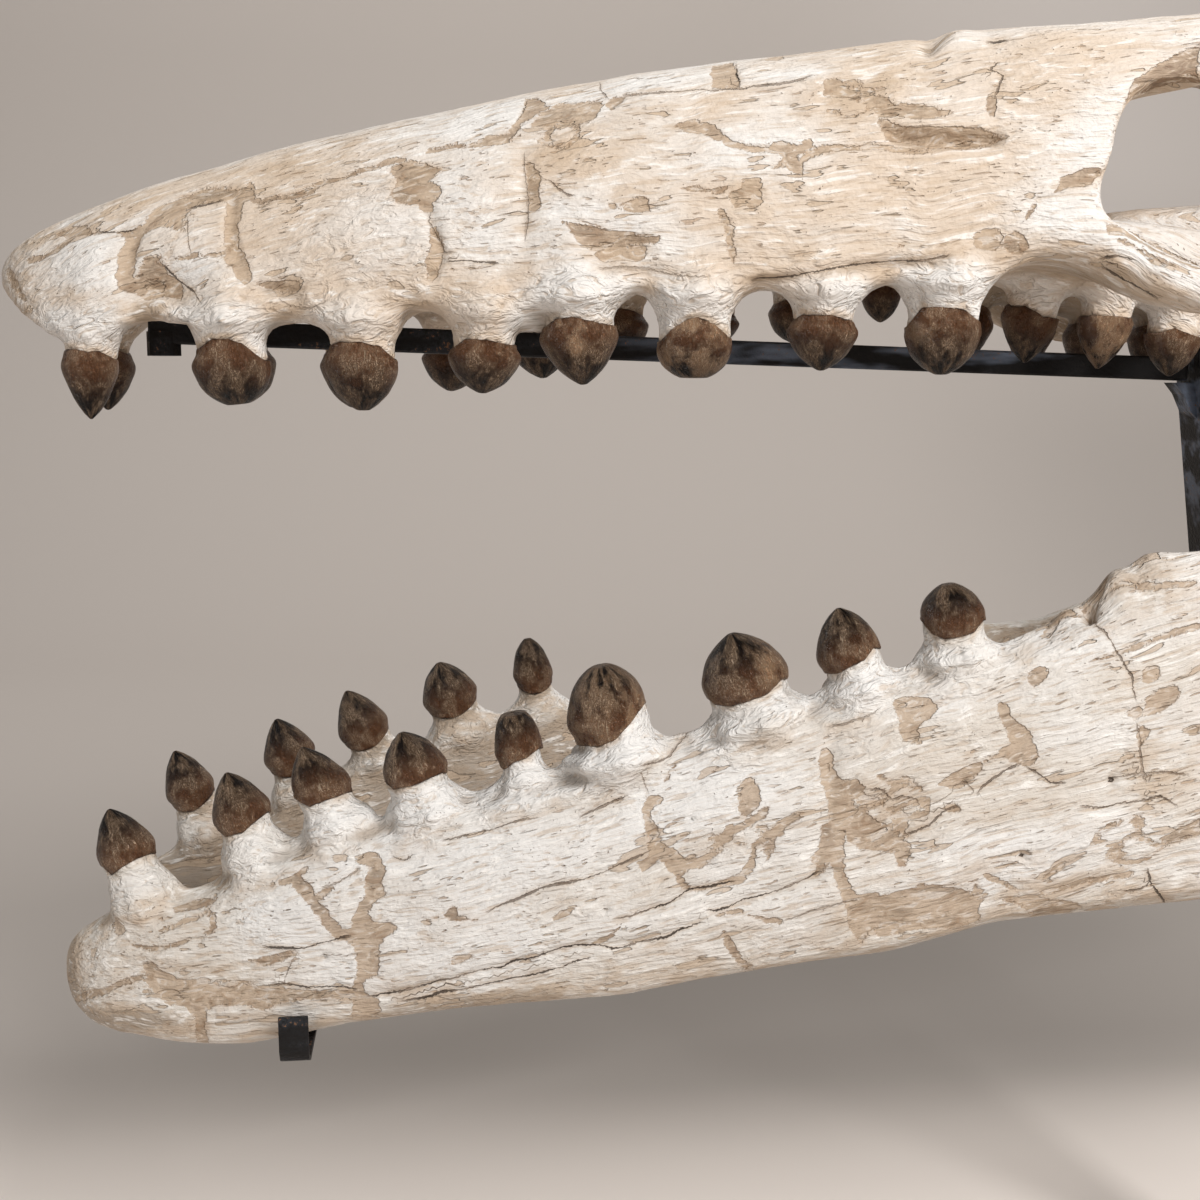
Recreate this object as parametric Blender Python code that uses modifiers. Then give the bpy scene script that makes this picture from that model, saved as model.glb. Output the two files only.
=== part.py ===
"""A globe-toothed marine lizard's fossil skull with its jaws open, on a black steel stand.

The skull lies along X with its snout towards -X, and its left side faces -Y. All sizes are in
metres. Lengths along the skull are counted from the snout tip, and heights from the mouth line,
a level plane between the jaws. place() turns both into the model's own frame, whose origin is
on the floor under the middle of the skull.
"""

from collections import namedtuple
from math import atan2, copysign, cos, pi, radians, sin

import bmesh
import bpy
from mathutils import Matrix, Vector

# Whole object
LENGTH = 0.640          # snout tip to the rear ends of the lower jaws
MOUTH_HEIGHT = 0.345    # mouth line above the floor
GAP = 0.0003            # clearance between pieces that touch

# Teeth
TURN_STEPS = 8          # sides of a turned crown or root
NECK = 0.43             # a root's radius under its crown, as a share of the crown's width
CROWN_BASE = 0.45       # a crown's radius at its base, as a share of its width
ROOT_FLARE = 0.66       # a root's radius where it leaves the jaw, as a share of the crown's width
UPPER_SHEAR = -0.10     # the skull is slightly sheared: the right teeth stand further forward
LOWER_SHEAR = 0.10      # and the right lower jaw and its teeth further back
SHEAR_END = 0.450       # where the lower jaws' shear has died out

# Stand
BAR = 0.0076            # side of the square carrying bars
BASE_SIZE = (0.320, 0.110, 0.009)
BASE_X = 0.4080         # middle of the base plate
POST_SIDE = 0.016
POST_FRONT = (0.3855, -0.0120)  # a point of the post's front face: x, z
POST_LEAN = 0.140       # how far the post's foot stands back for each metre of height
HEAD_TOP = 0.0302       # upper end of the post, under the braincase
STRIP = 0.0014          # thickness of the bent clips
STRIP_WIDTH = 0.0088
BAR_TIP = (0.0435, 0.0151)      # front end of the palate bar's centre line: x, z
BAR_SLOPE = -0.034
JAW_BAR_TIP = (0.080, -0.180)
JAW_BAR_END = -0.151            # its height where it meets the post
REAR_BAR_RISE = 0.012           # and how much higher its rear length ends
FRONT_CLIP_X = 0.0870
REAR_CLIP_X = 0.470
REAR_BAR_BEYOND = 0.012         # how far the rear length reaches past its clips
HOOK_HEIGHT = 0.0135            # how far a clip's outer end reaches up its jaw
CLIP_CLEAR = 0.0014             # between a clip and the sloping face of its jaw
PAD = (0.0480, 0.0052, 0.0075)  # round pad under the palate bar's tip: x, radius, depth

Section = namedtuple("Section", "x half_width roof margin palate flatness")
Jaw = namedtuple("Jaw", "x y top bottom thickness")
Tooth = namedtuple("Tooth", "x y z width length lean bluntness")

# Outer form of the skull before its openings are cut: margin is the tooth-bearing edge, palate
# the roof of the mouth, and flatness goes from a round snout (0) to the flat forehead (1).
SKULL = [
    Section(0.0000, 0.005, 0.0340, 0.0265, 0.0270, 0.2),
    Section(0.0030, 0.011, 0.0385, 0.0230, 0.0240, 0.2),
    Section(0.0090, 0.018, 0.0428, 0.0190, 0.0205, 0.1),
    Section(0.0180, 0.024, 0.0476, 0.0140, 0.0195, 0.1),
    Section(0.0300, 0.029, 0.0525, 0.0120, 0.0195, 0.0),
    Section(0.0480, 0.033, 0.0588, 0.0175, 0.0200, 0.0),
    Section(0.0720, 0.038, 0.0657, 0.0165, 0.0215, 0.0),
    Section(0.0910, 0.042, 0.0710, 0.0160, 0.0225, 0.0),
    Section(0.1280, 0.051, 0.0794, 0.0193, 0.0245, 0.0),
    Section(0.1600, 0.057, 0.0862, 0.0202, 0.0265, 0.1),
    Section(0.1910, 0.062, 0.0917, 0.0253, 0.0300, 0.2),
    Section(0.2240, 0.066, 0.0962, 0.0252, 0.0315, 0.3),
    Section(0.2600, 0.070, 0.0995, 0.0266, 0.0325, 0.55),
    Section(0.2900, 0.074, 0.1020, 0.0285, 0.0325, 0.8),
    Section(0.3000, 0.076, 0.1024, 0.0330, 0.0325, 0.9),
    Section(0.3150, 0.079, 0.1026, 0.0315, 0.0325, 1.0),
    Section(0.3330, 0.082, 0.1040, 0.0217, 0.0280, 1.0),
    Section(0.3550, 0.085, 0.1062, 0.0160, 0.0250, 1.0),
    Section(0.3800, 0.088, 0.1095, 0.0130, 0.0220, 1.0),
    Section(0.4050, 0.090, 0.1120, 0.0140, 0.0200, 1.0),
    Section(0.4350, 0.091, 0.1130, 0.0200, 0.0200, 1.0),
    Section(0.4900, 0.094, 0.1125, 0.0200, 0.0200, 1.0),
    Section(0.5450, 0.098, 0.1080, 0.0200, 0.0200, 1.0),
    Section(0.5850, 0.100, 0.1010, 0.0300, 0.0300, 0.9),
    Section(0.6040, 0.094, 0.0930, 0.0400, 0.0400, 0.6),
]
# Half of a section, as shares of its half width and of its height: round snout, then forehead
ROUND_HALF = [(0, 1), (0.30, 0.985), (0.56, 0.92), (0.77, 0.78), (0.91, 0.56), (0.985, 0.30), (1, 0.10)]
FLAT_HALF = [(0, 1), (0.36, 0.995), (0.66, 0.985), (0.82, 0.91), (0.91, 0.70), (0.96, 0.40), (1, 0.10)]
RIDGE_WIDTH = 0.022     # width of the tooth-bearing ridge along each edge of the palate
# How much higher the right edge sits than the left: x, lift
RIGHT_LIFT = [
    (0.0000, 0.000), (0.0300, 0.003), (0.1600, 0.004), (0.1900, 0.009), (0.2150, 0.013), (0.2500, 0.015),
    (0.2850, 0.015), (0.3200, 0.006), (0.3500, 0.0), (0.6400, 0.0),
]

# Openings, each an outline that is cut straight through, between limits clear of the bone
BESIDE = 0.150
BELOW = -0.080
ABOVE = 0.155
ROOF_OPENING_FLOOR = 0.040
ORBIT = [                # seen from the side: x, z
    (0.3260, 0.0790), (0.3225, 0.0720), (0.3200, 0.0620), (0.3165, 0.0530), (0.3172, 0.0450),
    (0.3395, 0.0330), (0.3620, 0.0265), (0.3900, 0.0260), (0.4200, 0.0320), (0.4360, 0.0440),
    (0.4420, 0.0640), (0.4410, 0.0900), (0.4300, 0.1030), (0.4060, 0.1065), (0.3860, 0.1050),
    (0.3720, 0.0920), (0.3580, 0.0810),
]
SIDE_OPENING = [         # behind the eye, under the temporal arch: x, z
    (0.4600, -0.0700), (0.4560, 0.0300), (0.4580, 0.0600), (0.4700, 0.0740), (0.5050, 0.0790),
    (0.5600, 0.0720), (0.5750, 0.0610), (0.6500, 0.0590), (0.6500, -0.0700),
]
ROOF_OPENING = [         # temporal opening of one side, seen from above: x, distance from the middle
    (0.4660, 0.0340), (0.4680, 0.0620), (0.4860, 0.0720), (0.5300, 0.0770), (0.5620, 0.0760),
    (0.5680, 0.0600), (0.5500, 0.0360), (0.5200, 0.0200), (0.4880, 0.0200),
]
REAR_NOTCH = [           # gap between the two rear arms of the skull, seen from above: x, y
    (0.6700, -0.0740), (0.5980, -0.0720), (0.5880, -0.0560), (0.5680, -0.0320), (0.5520, -0.0120),
    (0.5520, 0.0120), (0.5680, 0.0320), (0.5880, 0.0560), (0.5980, 0.0720), (0.6700, 0.0740),
]
HOLLOW_FLOOR = -0.060
HOLLOW = [               # space under the forehead and between the cheeks: x, half width, height
    (0.3320, 0.048, 0.0880), (0.3480, 0.066, 0.0925), (0.3720, 0.071, 0.0985), (0.4000, 0.075, 0.1060),
    (0.4300, 0.077, 0.1070), (0.5000, 0.081, 0.1055), (0.5450, 0.083, 0.1010), (0.6600, 0.086, 0.0860),
]
NOSTRIL = [              # one long nostril, seen from above: x, distance from the middle
    (0.1960, 0.0100), (0.2200, 0.0070), (0.2700, 0.0080), (0.3000, 0.0140), (0.2940, 0.0240),
    (0.2650, 0.0240), (0.2250, 0.0190),
]
NOSTRIL_DEPTH = 0.022

# Braincase with its long front spike, toothed palate bars and jaw-joint bones: lofted bars,
# each row a centre (x, y, z) and the half sizes across and upwards or along
BRAINCASE = [
    (0.3420, 0.0, 0.0440, 0.006, 0.0100), (0.3600, 0.0, 0.0440, 0.010, 0.0135),
    (0.4100, 0.0, 0.0450, 0.014, 0.0145), (0.4450, 0.0, 0.0650, 0.019, 0.0350),
    (0.4800, 0.0, 0.0700, 0.022, 0.0400), (0.5300, 0.0, 0.0660, 0.026, 0.0390),
    (0.5650, 0.0, 0.0580, 0.026, 0.0300), (0.5800, 0.0, 0.0480, 0.015, 0.0150),
    (0.5920, 0.0, 0.0450, 0.014, 0.0130), (0.5990, 0.0, 0.0450, 0.008, 0.0080),
]
PALATE_BONE = [
    (0.2820, 0.0300, 0.0420, 0.010, 0.0080), (0.3000, 0.0300, 0.0400, 0.013, 0.0110),
    (0.3400, 0.0300, 0.0380, 0.014, 0.0120), (0.3800, 0.0290, 0.0350, 0.014, 0.0110),
    (0.4200, 0.0280, 0.0330, 0.013, 0.0110), (0.4650, 0.0330, 0.0310, 0.012, 0.0100),
    (0.5100, 0.0500, 0.0270, 0.009, 0.0100), (0.5500, 0.0660, 0.0220, 0.007, 0.0110),
    (0.5720, 0.0740, 0.0180, 0.005, 0.0090),
]
QUADRATE = [             # from the top down: x, y, z, half size along x, half size along y
    (0.5850, 0.0860, 0.0890, 0.016, 0.0080), (0.5800, 0.0880, 0.0690, 0.020, 0.0100),
    (0.5740, 0.0900, 0.0480, 0.014, 0.0110), (0.5740, 0.0925, 0.0100, 0.010, 0.0115),
    (0.5840, 0.0940, -0.0180, 0.012, 0.0155), (0.5870, 0.0940, -0.0300, 0.008, 0.0120),
]
EAR_HOOK = [             # the hooked rear process of that bone: x, y, z
    (0.5900, 0.0880, 0.0760), (0.6060, 0.0890, 0.0700), (0.6130, 0.0900, 0.0540),
    (0.6090, 0.0910, 0.0380), (0.5990, 0.0915, 0.0300),
]
EAR_HOOK_RADIUS = 0.0075
RING_SIDES = 8

# Left lower jaw: centre line, upper and lower edge, and thickness
LOWER_JAW = [
    Jaw(0.0140, 0.0210, -0.1770, -0.1880, 0.007), Jaw(0.0163, 0.0220, -0.1715, -0.1940, 0.014),
    Jaw(0.0220, 0.0240, -0.1670, -0.1998, 0.020), Jaw(0.0300, 0.0270, -0.1620, -0.2015, 0.025),
    Jaw(0.0450, 0.0305, -0.1580, -0.2030, 0.028), Jaw(0.0600, 0.0330, -0.1525, -0.2042, 0.029),
    Jaw(0.0730, 0.0355, -0.1440, -0.2040, 0.029), Jaw(0.0875, 0.0385, -0.1365, -0.2005, 0.030),
    Jaw(0.1010, 0.0415, -0.1330, -0.1965, 0.030), Jaw(0.1200, 0.0450, -0.1285, -0.1930, 0.030),
    Jaw(0.1400, 0.0485, -0.1215, -0.1895, 0.031), Jaw(0.1670, 0.0530, -0.1130, -0.1865, 0.032),
    Jaw(0.1850, 0.0560, -0.1075, -0.1845, 0.032), Jaw(0.2040, 0.0590, -0.1025, -0.1800, 0.032),
    Jaw(0.2380, 0.0645, -0.0925, -0.1735, 0.032), Jaw(0.2650, 0.0685, -0.0820, -0.1690, 0.031),
    Jaw(0.2945, 0.0725, -0.0743, -0.1598, 0.030), Jaw(0.3090, 0.0745, -0.0675, -0.1580, 0.030),
    Jaw(0.3200, 0.0755, -0.0595, -0.1575, 0.029), Jaw(0.3375, 0.0780, -0.0475, -0.1550, 0.027),
    Jaw(0.3650, 0.0805, -0.0460, -0.1520, 0.026), Jaw(0.4150, 0.0850, -0.0560, -0.1460, 0.025),
    Jaw(0.4600, 0.0875, -0.0555, -0.1380, 0.024), Jaw(0.5100, 0.0900, -0.0490, -0.1250, 0.024),
    Jaw(0.5500, 0.0925, -0.0410, -0.1115, 0.025), Jaw(0.5700, 0.0940, -0.0345, -0.1040, 0.030),
    Jaw(0.5850, 0.0940, -0.0385, -0.0985, 0.032), Jaw(0.5980, 0.0940, -0.0350, -0.0940, 0.030),
    Jaw(0.6150, 0.0935, -0.0420, -0.0860, 0.022), Jaw(0.6320, 0.0930, -0.0530, -0.0800, 0.016),
    Jaw(0.6400, 0.0925, -0.0600, -0.0740, 0.008),
]
JAW_SIDES = 10
JAW_SQUARENESS = 2.7    # exponent of the rounded section: 2 is an ellipse
# What the right jaw has lost of its upper edge behind its fifth tooth: x, depth lost
RIGHT_LOSS = [
    (0.0000, 0.0), (0.1720, 0.0), (0.1850, 0.018), (0.2050, 0.034), (0.2230, 0.039),
    (0.2650, 0.042), (0.3200, 0.047), (0.3650, 0.048), (0.4150, 0.022), (0.4600, 0.004),
    (0.4800, 0.0), (0.6400, 0.0),
]

# Left teeth: place of the crown's base, its width, its length, how far its tip leans towards
# the snout in degrees, and how blunt it is, from 0, pointed, to 1, worn round
UPPER_TEETH = [
    Tooth(0.0303, 0.020, 0.0085, 0.0175, 0.0203, 2, 0.10),
    Tooth(0.0723, 0.028, 0.0090, 0.0234, 0.0170, -6, 0.75),
    Tooth(0.1109, 0.036, 0.0093, 0.0220, 0.0188, 0, 0.35),
    Tooth(0.1466, 0.043, 0.0100, 0.0215, 0.0140, 5, 0.40),
    Tooth(0.1732, 0.048, 0.0168, 0.0242, 0.0184, -5, 0.30),
    Tooth(0.2062, 0.053, 0.0155, 0.0230, 0.0158, 0, 0.90),
    Tooth(0.2428, 0.057, 0.0170, 0.0204, 0.0145, 2, 0.25),
    Tooth(0.2770, 0.060, 0.0195, 0.0228, 0.0182, 0, 0.70),
]
PALATE_TEETH = [
    Tooth(0.3167, 0.028, 0.0235, 0.0180, 0.0185, 6, 0.10),
    Tooth(0.3405, 0.029, 0.0222, 0.0170, 0.0190, 7, 0.10),
    Tooth(0.3625, 0.030, 0.0190, 0.0190, 0.0180, 4, 0.25),
    Tooth(0.3860, 0.031, 0.0180, 0.0170, 0.0160, 4, 0.30),
]
LOWER_TEETH = [
    Tooth(0.0370, 0.030, -0.1466, 0.0184, 0.0186, 19, 0.15),
    Tooth(0.0727, 0.035, -0.1342, 0.0188, 0.0178, 18, 0.15),
    Tooth(0.0977, 0.040, -0.1263, 0.0190, 0.0190, 23, 0.15),
    Tooth(0.1255, 0.046, -0.1198, 0.0210, 0.0172, 18, 0.35),
    Tooth(0.1558, 0.051, -0.1126, 0.0150, 0.0180, 9, 0.60),
    Tooth(0.1822, 0.056, -0.1027, 0.0260, 0.0212, 9, 0.75),
    Tooth(0.2228, 0.061, -0.0922, 0.0260, 0.0205, 18, 0.35),
    Tooth(0.2516, 0.066, -0.0828, 0.0195, 0.0185, 15, 0.25),
    Tooth(0.2804, 0.070, -0.0735, 0.0198, 0.0164, 10, 0.50),
]
# The right teeth that stand out of line with their twins on the left: number, then the change
# in place along the jaw, in height, in width and in length
RIGHT_UPPER_CHANGES = {
    1: (0.0, 0.0, 0.0, -0.0020), 5: (0.0045, 0.0010, -0.0010, -0.0010),
    6: (0.0010, 0.0070, -0.0010, -0.0030), 7: (0.0, 0.0060, 0.0, -0.0030),
    8: (-0.0020, 0.0080, -0.0030, -0.0040),
}
RIGHT_EXTRA = Tooth(0.2958, 0.063, 0.0340, 0.0145, 0.0130, 0, 0.40)  # a ninth upper tooth on the right
RIGHT_LOWER_CHANGES = {
    1: (0.0030, 0.0025, -0.0010, 0.0), 4: (0.0015, 0.0030, 0.0, 0.0), 5: (0.0, 0.0020, 0.0, 0.0),
}
RIGHT_LOWER_COUNT = 5
ROOT_IN_JAW = 0.010     # how far a root's flare reaches into its jaw

COLOURS = {             # base colour, roughness, metallic
    "skull_bone": ((0.80, 0.70, 0.56, 1), 0.80, 0.0),
    "jaw_bone": ((0.84, 0.80, 0.74, 1), 0.80, 0.0),
    "enamel": ((0.14, 0.08, 0.045, 1), 0.45, 0.0),
    "black_steel": ((0.015, 0.016, 0.018, 1), 0.40, 0.6),
}


def clear_scene():
    for item in list(bpy.data.objects):
        bpy.data.objects.remove(item, do_unlink=True)


def new_collection(name):
    collection = bpy.data.collections.new(name)
    bpy.context.scene.collection.children.link(collection)
    return collection


def new_material(name):
    colour, roughness, metallic = COLOURS[name]
    material = bpy.data.materials.new(name)
    material.use_nodes = True
    shader = material.node_tree.nodes["Principled BSDF"]
    shader.inputs["Base Color"].default_value = colour
    shader.inputs["Roughness"].default_value = roughness
    shader.inputs["Metallic"].default_value = metallic
    material.diffuse_color = colour
    return material


def place(x, y, z):
    """A point of the skull, from its own lengths and heights, in the model's frame."""
    return Vector((x - LENGTH / 2, y, z + MOUTH_HEIGHT))


def add_object(name, mesh, collection):
    item = bpy.data.objects.new(name, mesh)
    collection.objects.link(item)
    return item


def as_tool(item):
    """Hides a shape that only cuts another or is joined to it."""
    item.hide_render = True
    item.display_type = "WIRE"
    return item


def finish_mesh(name, work, collection):
    bmesh.ops.recalc_face_normals(work, faces=work.faces)
    mesh = bpy.data.meshes.new(name)
    work.to_mesh(mesh)
    work.free()
    return add_object(name, mesh, collection)


def loft(name, rings, collection):
    """A closed skin through rings of equally many points, with a flat cap at either end."""
    work = bmesh.new()
    loops = [[work.verts.new(point) for point in ring] for ring in rings]
    for near, far in zip(loops, loops[1:]):
        for i in range(len(near)):
            j = (i + 1) % len(near)
            work.faces.new((near[i], near[j], far[j], far[i]))
    work.faces.new(list(reversed(loops[0])))
    work.faces.new(loops[-1])
    return finish_mesh(name, work, collection)


def prism(name, outline, low, high, upright, collection):
    """A flat outline made thick: seen from above between two heights, or from the side
    between two distances from the middle (upright)."""
    curve = bpy.data.curves.new(name, "CURVE")
    curve.dimensions = "2D"
    curve.fill_mode = "BOTH"
    curve.extrude = (high - low) / 2
    spline = curve.splines.new("POLY")
    spline.points.add(len(outline) - 1)
    for point, (along, across) in zip(spline.points, outline):
        point.co = (along - LENGTH / 2, across, 0, 1)
    spline.use_cyclic_u = True
    guide = add_object(name + "_outline", curve, collection)
    if upright:
        guide.matrix_world = Matrix.Translation((0, (low + high) / 2, MOUTH_HEIGHT)) @ Matrix.Rotation(
            pi / 2, 4, "X")
    else:
        guide.location.z = MOUTH_HEIGHT + (low + high) / 2
    return curve_to_mesh(name, guide, collection)


def curve_to_mesh(name, guide, collection):
    """Turns a curve object into a closed mesh, and removes the curve."""
    bpy.context.view_layer.update()
    evaluated = guide.evaluated_get(bpy.context.evaluated_depsgraph_get())
    mesh = bpy.data.meshes.new_from_object(evaluated)
    work = bmesh.new()
    work.from_mesh(mesh)
    bmesh.ops.remove_doubles(work, verts=work.verts, dist=0.00002)
    bmesh.ops.recalc_face_normals(work, faces=work.faces)
    work.to_mesh(mesh)
    work.free()
    item = add_object(name, mesh, collection)
    item.matrix_world = guide.matrix_world.copy()
    bpy.data.objects.remove(guide, do_unlink=True)
    return item


def boolean(target, tool, operation):
    """Cuts or joins. All shapes here are closed; the exact solver loses the skull at its rear notch."""
    modifier = target.modifiers.new(tool.name, "BOOLEAN")
    modifier.operation = operation
    modifier.solver = "MANIFOLD"
    modifier.object = as_tool(tool)


def cut(target, tool):
    boolean(target, tool, "DIFFERENCE")


def join(target, tool):
    boolean(target, tool, "UNION")


def mirrored(points, side):
    """The same outline on the left (side -1) or the right (side 1)."""
    return [(along, side * across) for along, across in points]


def between(rows, x):
    """The value at x on a line through (x, value) rows."""
    for (x0, low), (x1, high) in zip(rows, rows[1:]):
        if x0 <= x <= x1:
            return low + (high - low) * (x - x0) / (x1 - x0)
    return rows[-1][1]


def skull_ring(row):
    """One section of the skull's outer form, from the middle of the roof round by the right."""
    rise = row.roof - row.margin
    half = []
    for (round_y, round_z), (flat_y, flat_z) in zip(ROUND_HALF, FLAT_HALF):
        across = round_y + (flat_y - round_y) * row.flatness
        up = round_z + (flat_z - round_z) * row.flatness
        half.append((across * row.half_width, row.margin + up * rise))
    ridge = min(RIDGE_WIDTH, 0.55 * row.half_width)
    inner = row.half_width - ridge
    half.append((0.96 * row.half_width, row.margin))
    half.append((inner, row.margin + 0.0005))
    half.append((0.72 * inner, row.palate))
    lift = min(between(RIGHT_LIFT, row.x), 0.2 * rise)
    right = [place(row.x, y, z + (lift if z < row.margin + 0.15 * rise else 0)) for y, z in half]
    left = [place(row.x, -y, z) for y, z in half[1:]]
    floor = place(row.x, 0, row.palate)
    return right + [floor] + list(reversed(left))


def hollow_ring(x, half_width, top):
    """A section of the space under the roof, with its upper corners cut off."""
    corner = 0.18 * half_width
    return [place(x, y, z) for y, z in (
        (-half_width, HOLLOW_FLOOR), (half_width, HOLLOW_FLOOR), (half_width, top - corner),
        (half_width - corner, top), (corner - half_width, top), (-half_width, top - corner))]


def oval_ring(centre, side_axis, up_axis, half_side, half_up, sides, squareness=2.0):
    """Points of a rounded section round a centre, in the plane of two axes."""
    points = []
    for i in range(sides):
        angle = 2 * pi * (i + 0.5) / sides
        across = copysign(abs(cos(angle)) ** (2 / squareness), cos(angle)) * half_side
        up = copysign(abs(sin(angle)) ** (2 / squareness), sin(angle)) * half_up
        points.append(centre + side_axis * across + up_axis * up)
    return points


X_AXIS, Y_AXIS, Z_AXIS = Vector((1, 0, 0)), Vector((0, 1, 0)), Vector((0, 0, 1))


def level_bar(name, rows, side, collection):
    """A bone that runs along the skull, from rows of centre and half sizes."""
    rings = [
        oval_ring(place(x, side * y, z), Y_AXIS, Z_AXIS, across, up, RING_SIDES, 2.4)
        for x, y, z, across, up in rows
    ]
    return loft(name, rings, collection)


def hanging_bar(name, rows, side, collection):
    """A bone that runs downwards, from rows of centre and half sizes."""
    rings = [
        oval_ring(place(x, side * y, z), X_AXIS, Y_AXIS, along, across, RING_SIDES)
        for x, y, z, along, across in rows
    ]
    return loft(name, rings, collection)


def round_rod(name, points, radius, collection):
    curve = bpy.data.curves.new(name, "CURVE")
    curve.dimensions = "3D"
    curve.bevel_depth = radius
    curve.bevel_resolution = 1
    curve.use_fill_caps = True
    spline = curve.splines.new("POLY")
    spline.points.add(len(points) - 1)
    for point, where in zip(spline.points, points):
        point.co = (*where, 1)
    return curve_to_mesh(name, add_object(name + "_path", curve, collection), collection)


def turned(name, profile, collection):
    """A profile of (radius, height) points, from the top of the axis down its outer side and
    back to the axis, turned round Z."""
    work = bmesh.new()
    verts = [work.verts.new((radius, 0, height)) for radius, height in profile]
    for first, second in zip(verts, verts[1:]):
        work.edges.new((first, second))
    mesh = bpy.data.meshes.new(name)
    work.to_mesh(mesh)
    work.free()
    item = add_object(name, mesh, collection)
    screw = item.modifiers.new("turn", "SCREW")
    screw.steps = screw.render_steps = TURN_STEPS
    screw.use_merge_vertices = True
    screw.merge_threshold = 0.00005
    screw.use_smooth_shade = True
    return item


def tooth_frame(tooth, side, down):
    """Stands a turned shape on a tooth's base, with its axis towards the tip."""
    lean = Matrix.Rotation(-radians(tooth.lean), 4, "Y")
    if down:
        lean = Matrix.Rotation(radians(180 + tooth.lean), 4, "Y")
    return Matrix.Translation(place(tooth.x, side * tooth.y, tooth.z)) @ lean


def crown(name, tooth, side, down, collection, material):
    """A bulbous crown: widest a little above its base, then rounding to a tip."""
    belly = 0.27 * tooth.length
    power = 1.35 + 0.75 * tooth.bluntness
    profile = [(0, tooth.length)]
    for share in (0.97, 0.80, 0.52):
        height = belly + (tooth.length - belly) * share
        radius = tooth.width / 2 * (1 - share ** power) ** (0.80 - 0.28 * tooth.bluntness)
        profile.append((radius, height))
    profile += [(tooth.width / 2, belly), (CROWN_BASE * tooth.width, GAP), (0, GAP)]
    item = turned(name, profile, collection)
    item.matrix_world = tooth_frame(tooth, side, down)
    item.data.materials.append(material)
    return item


def root(name, tooth, side, down, reach, collection):
    """The root that carries a crown: flared at the jaw, with a narrow neck under the crown."""
    neck = NECK * tooth.width
    flare = ROOT_FLARE * tooth.width
    foot = -reach - ROOT_IN_JAW
    profile = [(0, 0), (neck, 0), (flare, -reach), (flare * 0.6, foot), (0, foot)]
    item = turned(name, profile, collection)
    item.matrix_world = tooth_frame(tooth, side, down)
    return item


def right_twin(tooth, shear, change):
    """A left tooth's twin on the right, moved along because the fossil is sheared."""
    along, up, wider, longer = change
    return tooth._replace(x=tooth.x + shear * 2 * tooth.y + along, z=tooth.z + up,
                          width=tooth.width + wider, length=tooth.length + longer)


def row_of_teeth(teeth, side, shear, changes):
    if side < 0:
        return teeth
    return [right_twin(tooth, shear, changes.get(number, (0, 0, 0, 0)))
            for number, tooth in enumerate(teeth, 1)]


def build_skull(parts, tools, material):
    skull = loft("cranium", [skull_ring(row) for row in SKULL], parts)
    skull.data.materials.append(material)
    cut(skull, prism("rear_notch", REAR_NOTCH, BELOW, ABOVE, False, tools))
    cut(skull, prism("side_openings", SIDE_OPENING, -BESIDE, BESIDE, True, tools))
    cut(skull, loft("hollow", [hollow_ring(*row) for row in HOLLOW], tools))
    cut(skull, prism("orbits", ORBIT, -BESIDE, BESIDE, True, tools))
    for side, word in ((-1, "left"), (1, "right")):
        outline = mirrored(ROOF_OPENING, side)
        cut(skull, prism("roof_opening_" + word, outline, ROOF_OPENING_FLOOR, ABOVE, False, tools))
        floor = between([(row.x, row.roof) for row in SKULL], NOSTRIL[2][0]) - NOSTRIL_DEPTH
        cut(skull, prism("nostril_" + word, mirrored(NOSTRIL, side), floor, ABOVE, False, tools))
    join(skull, level_bar("braincase", BRAINCASE, 1, tools))
    for side, word in ((-1, "left"), (1, "right")):
        join(skull, level_bar("palate_bone_" + word, PALATE_BONE, side, tools))
        join(skull, hanging_bar("quadrate_" + word, QUADRATE, side, tools))
        hook = [place(x, side * y, z) for x, y, z in EAR_HOOK]
        join(skull, round_rod("ear_hook_" + word, hook, EAR_HOOK_RADIUS, tools))
    return skull


def jaw_rows(side):
    """The rows of one lower jaw: the right one is sheared back and has lost part of its edge."""
    if side < 0:
        return LOWER_JAW
    return [row._replace(x=row.x + LOWER_SHEAR * 2 * row.y * max(0, 1 - row.x / SHEAR_END),
                         top=row.top - between(RIGHT_LOSS, row.x)) for row in LOWER_JAW]


def jaw_at(side, x):
    """One lower jaw's row at any length along it."""
    rows = jaw_rows(side)
    return Jaw(x, *(between([(row.x, row[field]) for row in rows], x) for field in range(1, len(rows[0]))))


def build_jaw(side, parts, material):
    word = "left" if side < 0 else "right"
    rings = []
    for row in jaw_rows(side):
        middle = place(row.x, side * row.y, (row.top + row.bottom) / 2)
        half_height = (row.top - row.bottom) / 2
        rings.append(oval_ring(middle, Y_AXIS, Z_AXIS, row.thickness / 2, half_height, JAW_SIDES,
                               JAW_SQUARENESS))
    jaw = loft("mandible_" + word, rings, parts)
    jaw.data.materials.append(material)
    return jaw


def build_teeth(bone, teeth, side, family, edge, down, parts, tools, enamel):
    """Roots joined to their bone, and their crowns as pieces of their own. edge is the height
    of the bone that carries them, along the skull."""
    word = "left" if side < 0 else "right"
    for number, tooth in enumerate(teeth, 1):
        name = f"{family}_{word}_{number}"
        reach = abs(between(edge, tooth.x) - tooth.z)
        join(bone, root("root_" + name, tooth, side, down, reach, tools))
        crown("crown_" + name, tooth, side, down, parts, enamel)


def box(name, size, centre, bevel, collection, material):
    work = bmesh.new()
    bmesh.ops.create_cube(work, size=1, matrix=Matrix.Diagonal((*size, 1)))
    item = finish_mesh(name, work, collection)
    item.location = centre
    rounding = item.modifiers.new("edges", "BEVEL")
    rounding.width = bevel
    rounding.segments = 1
    item.data.materials.append(material)
    return item


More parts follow.
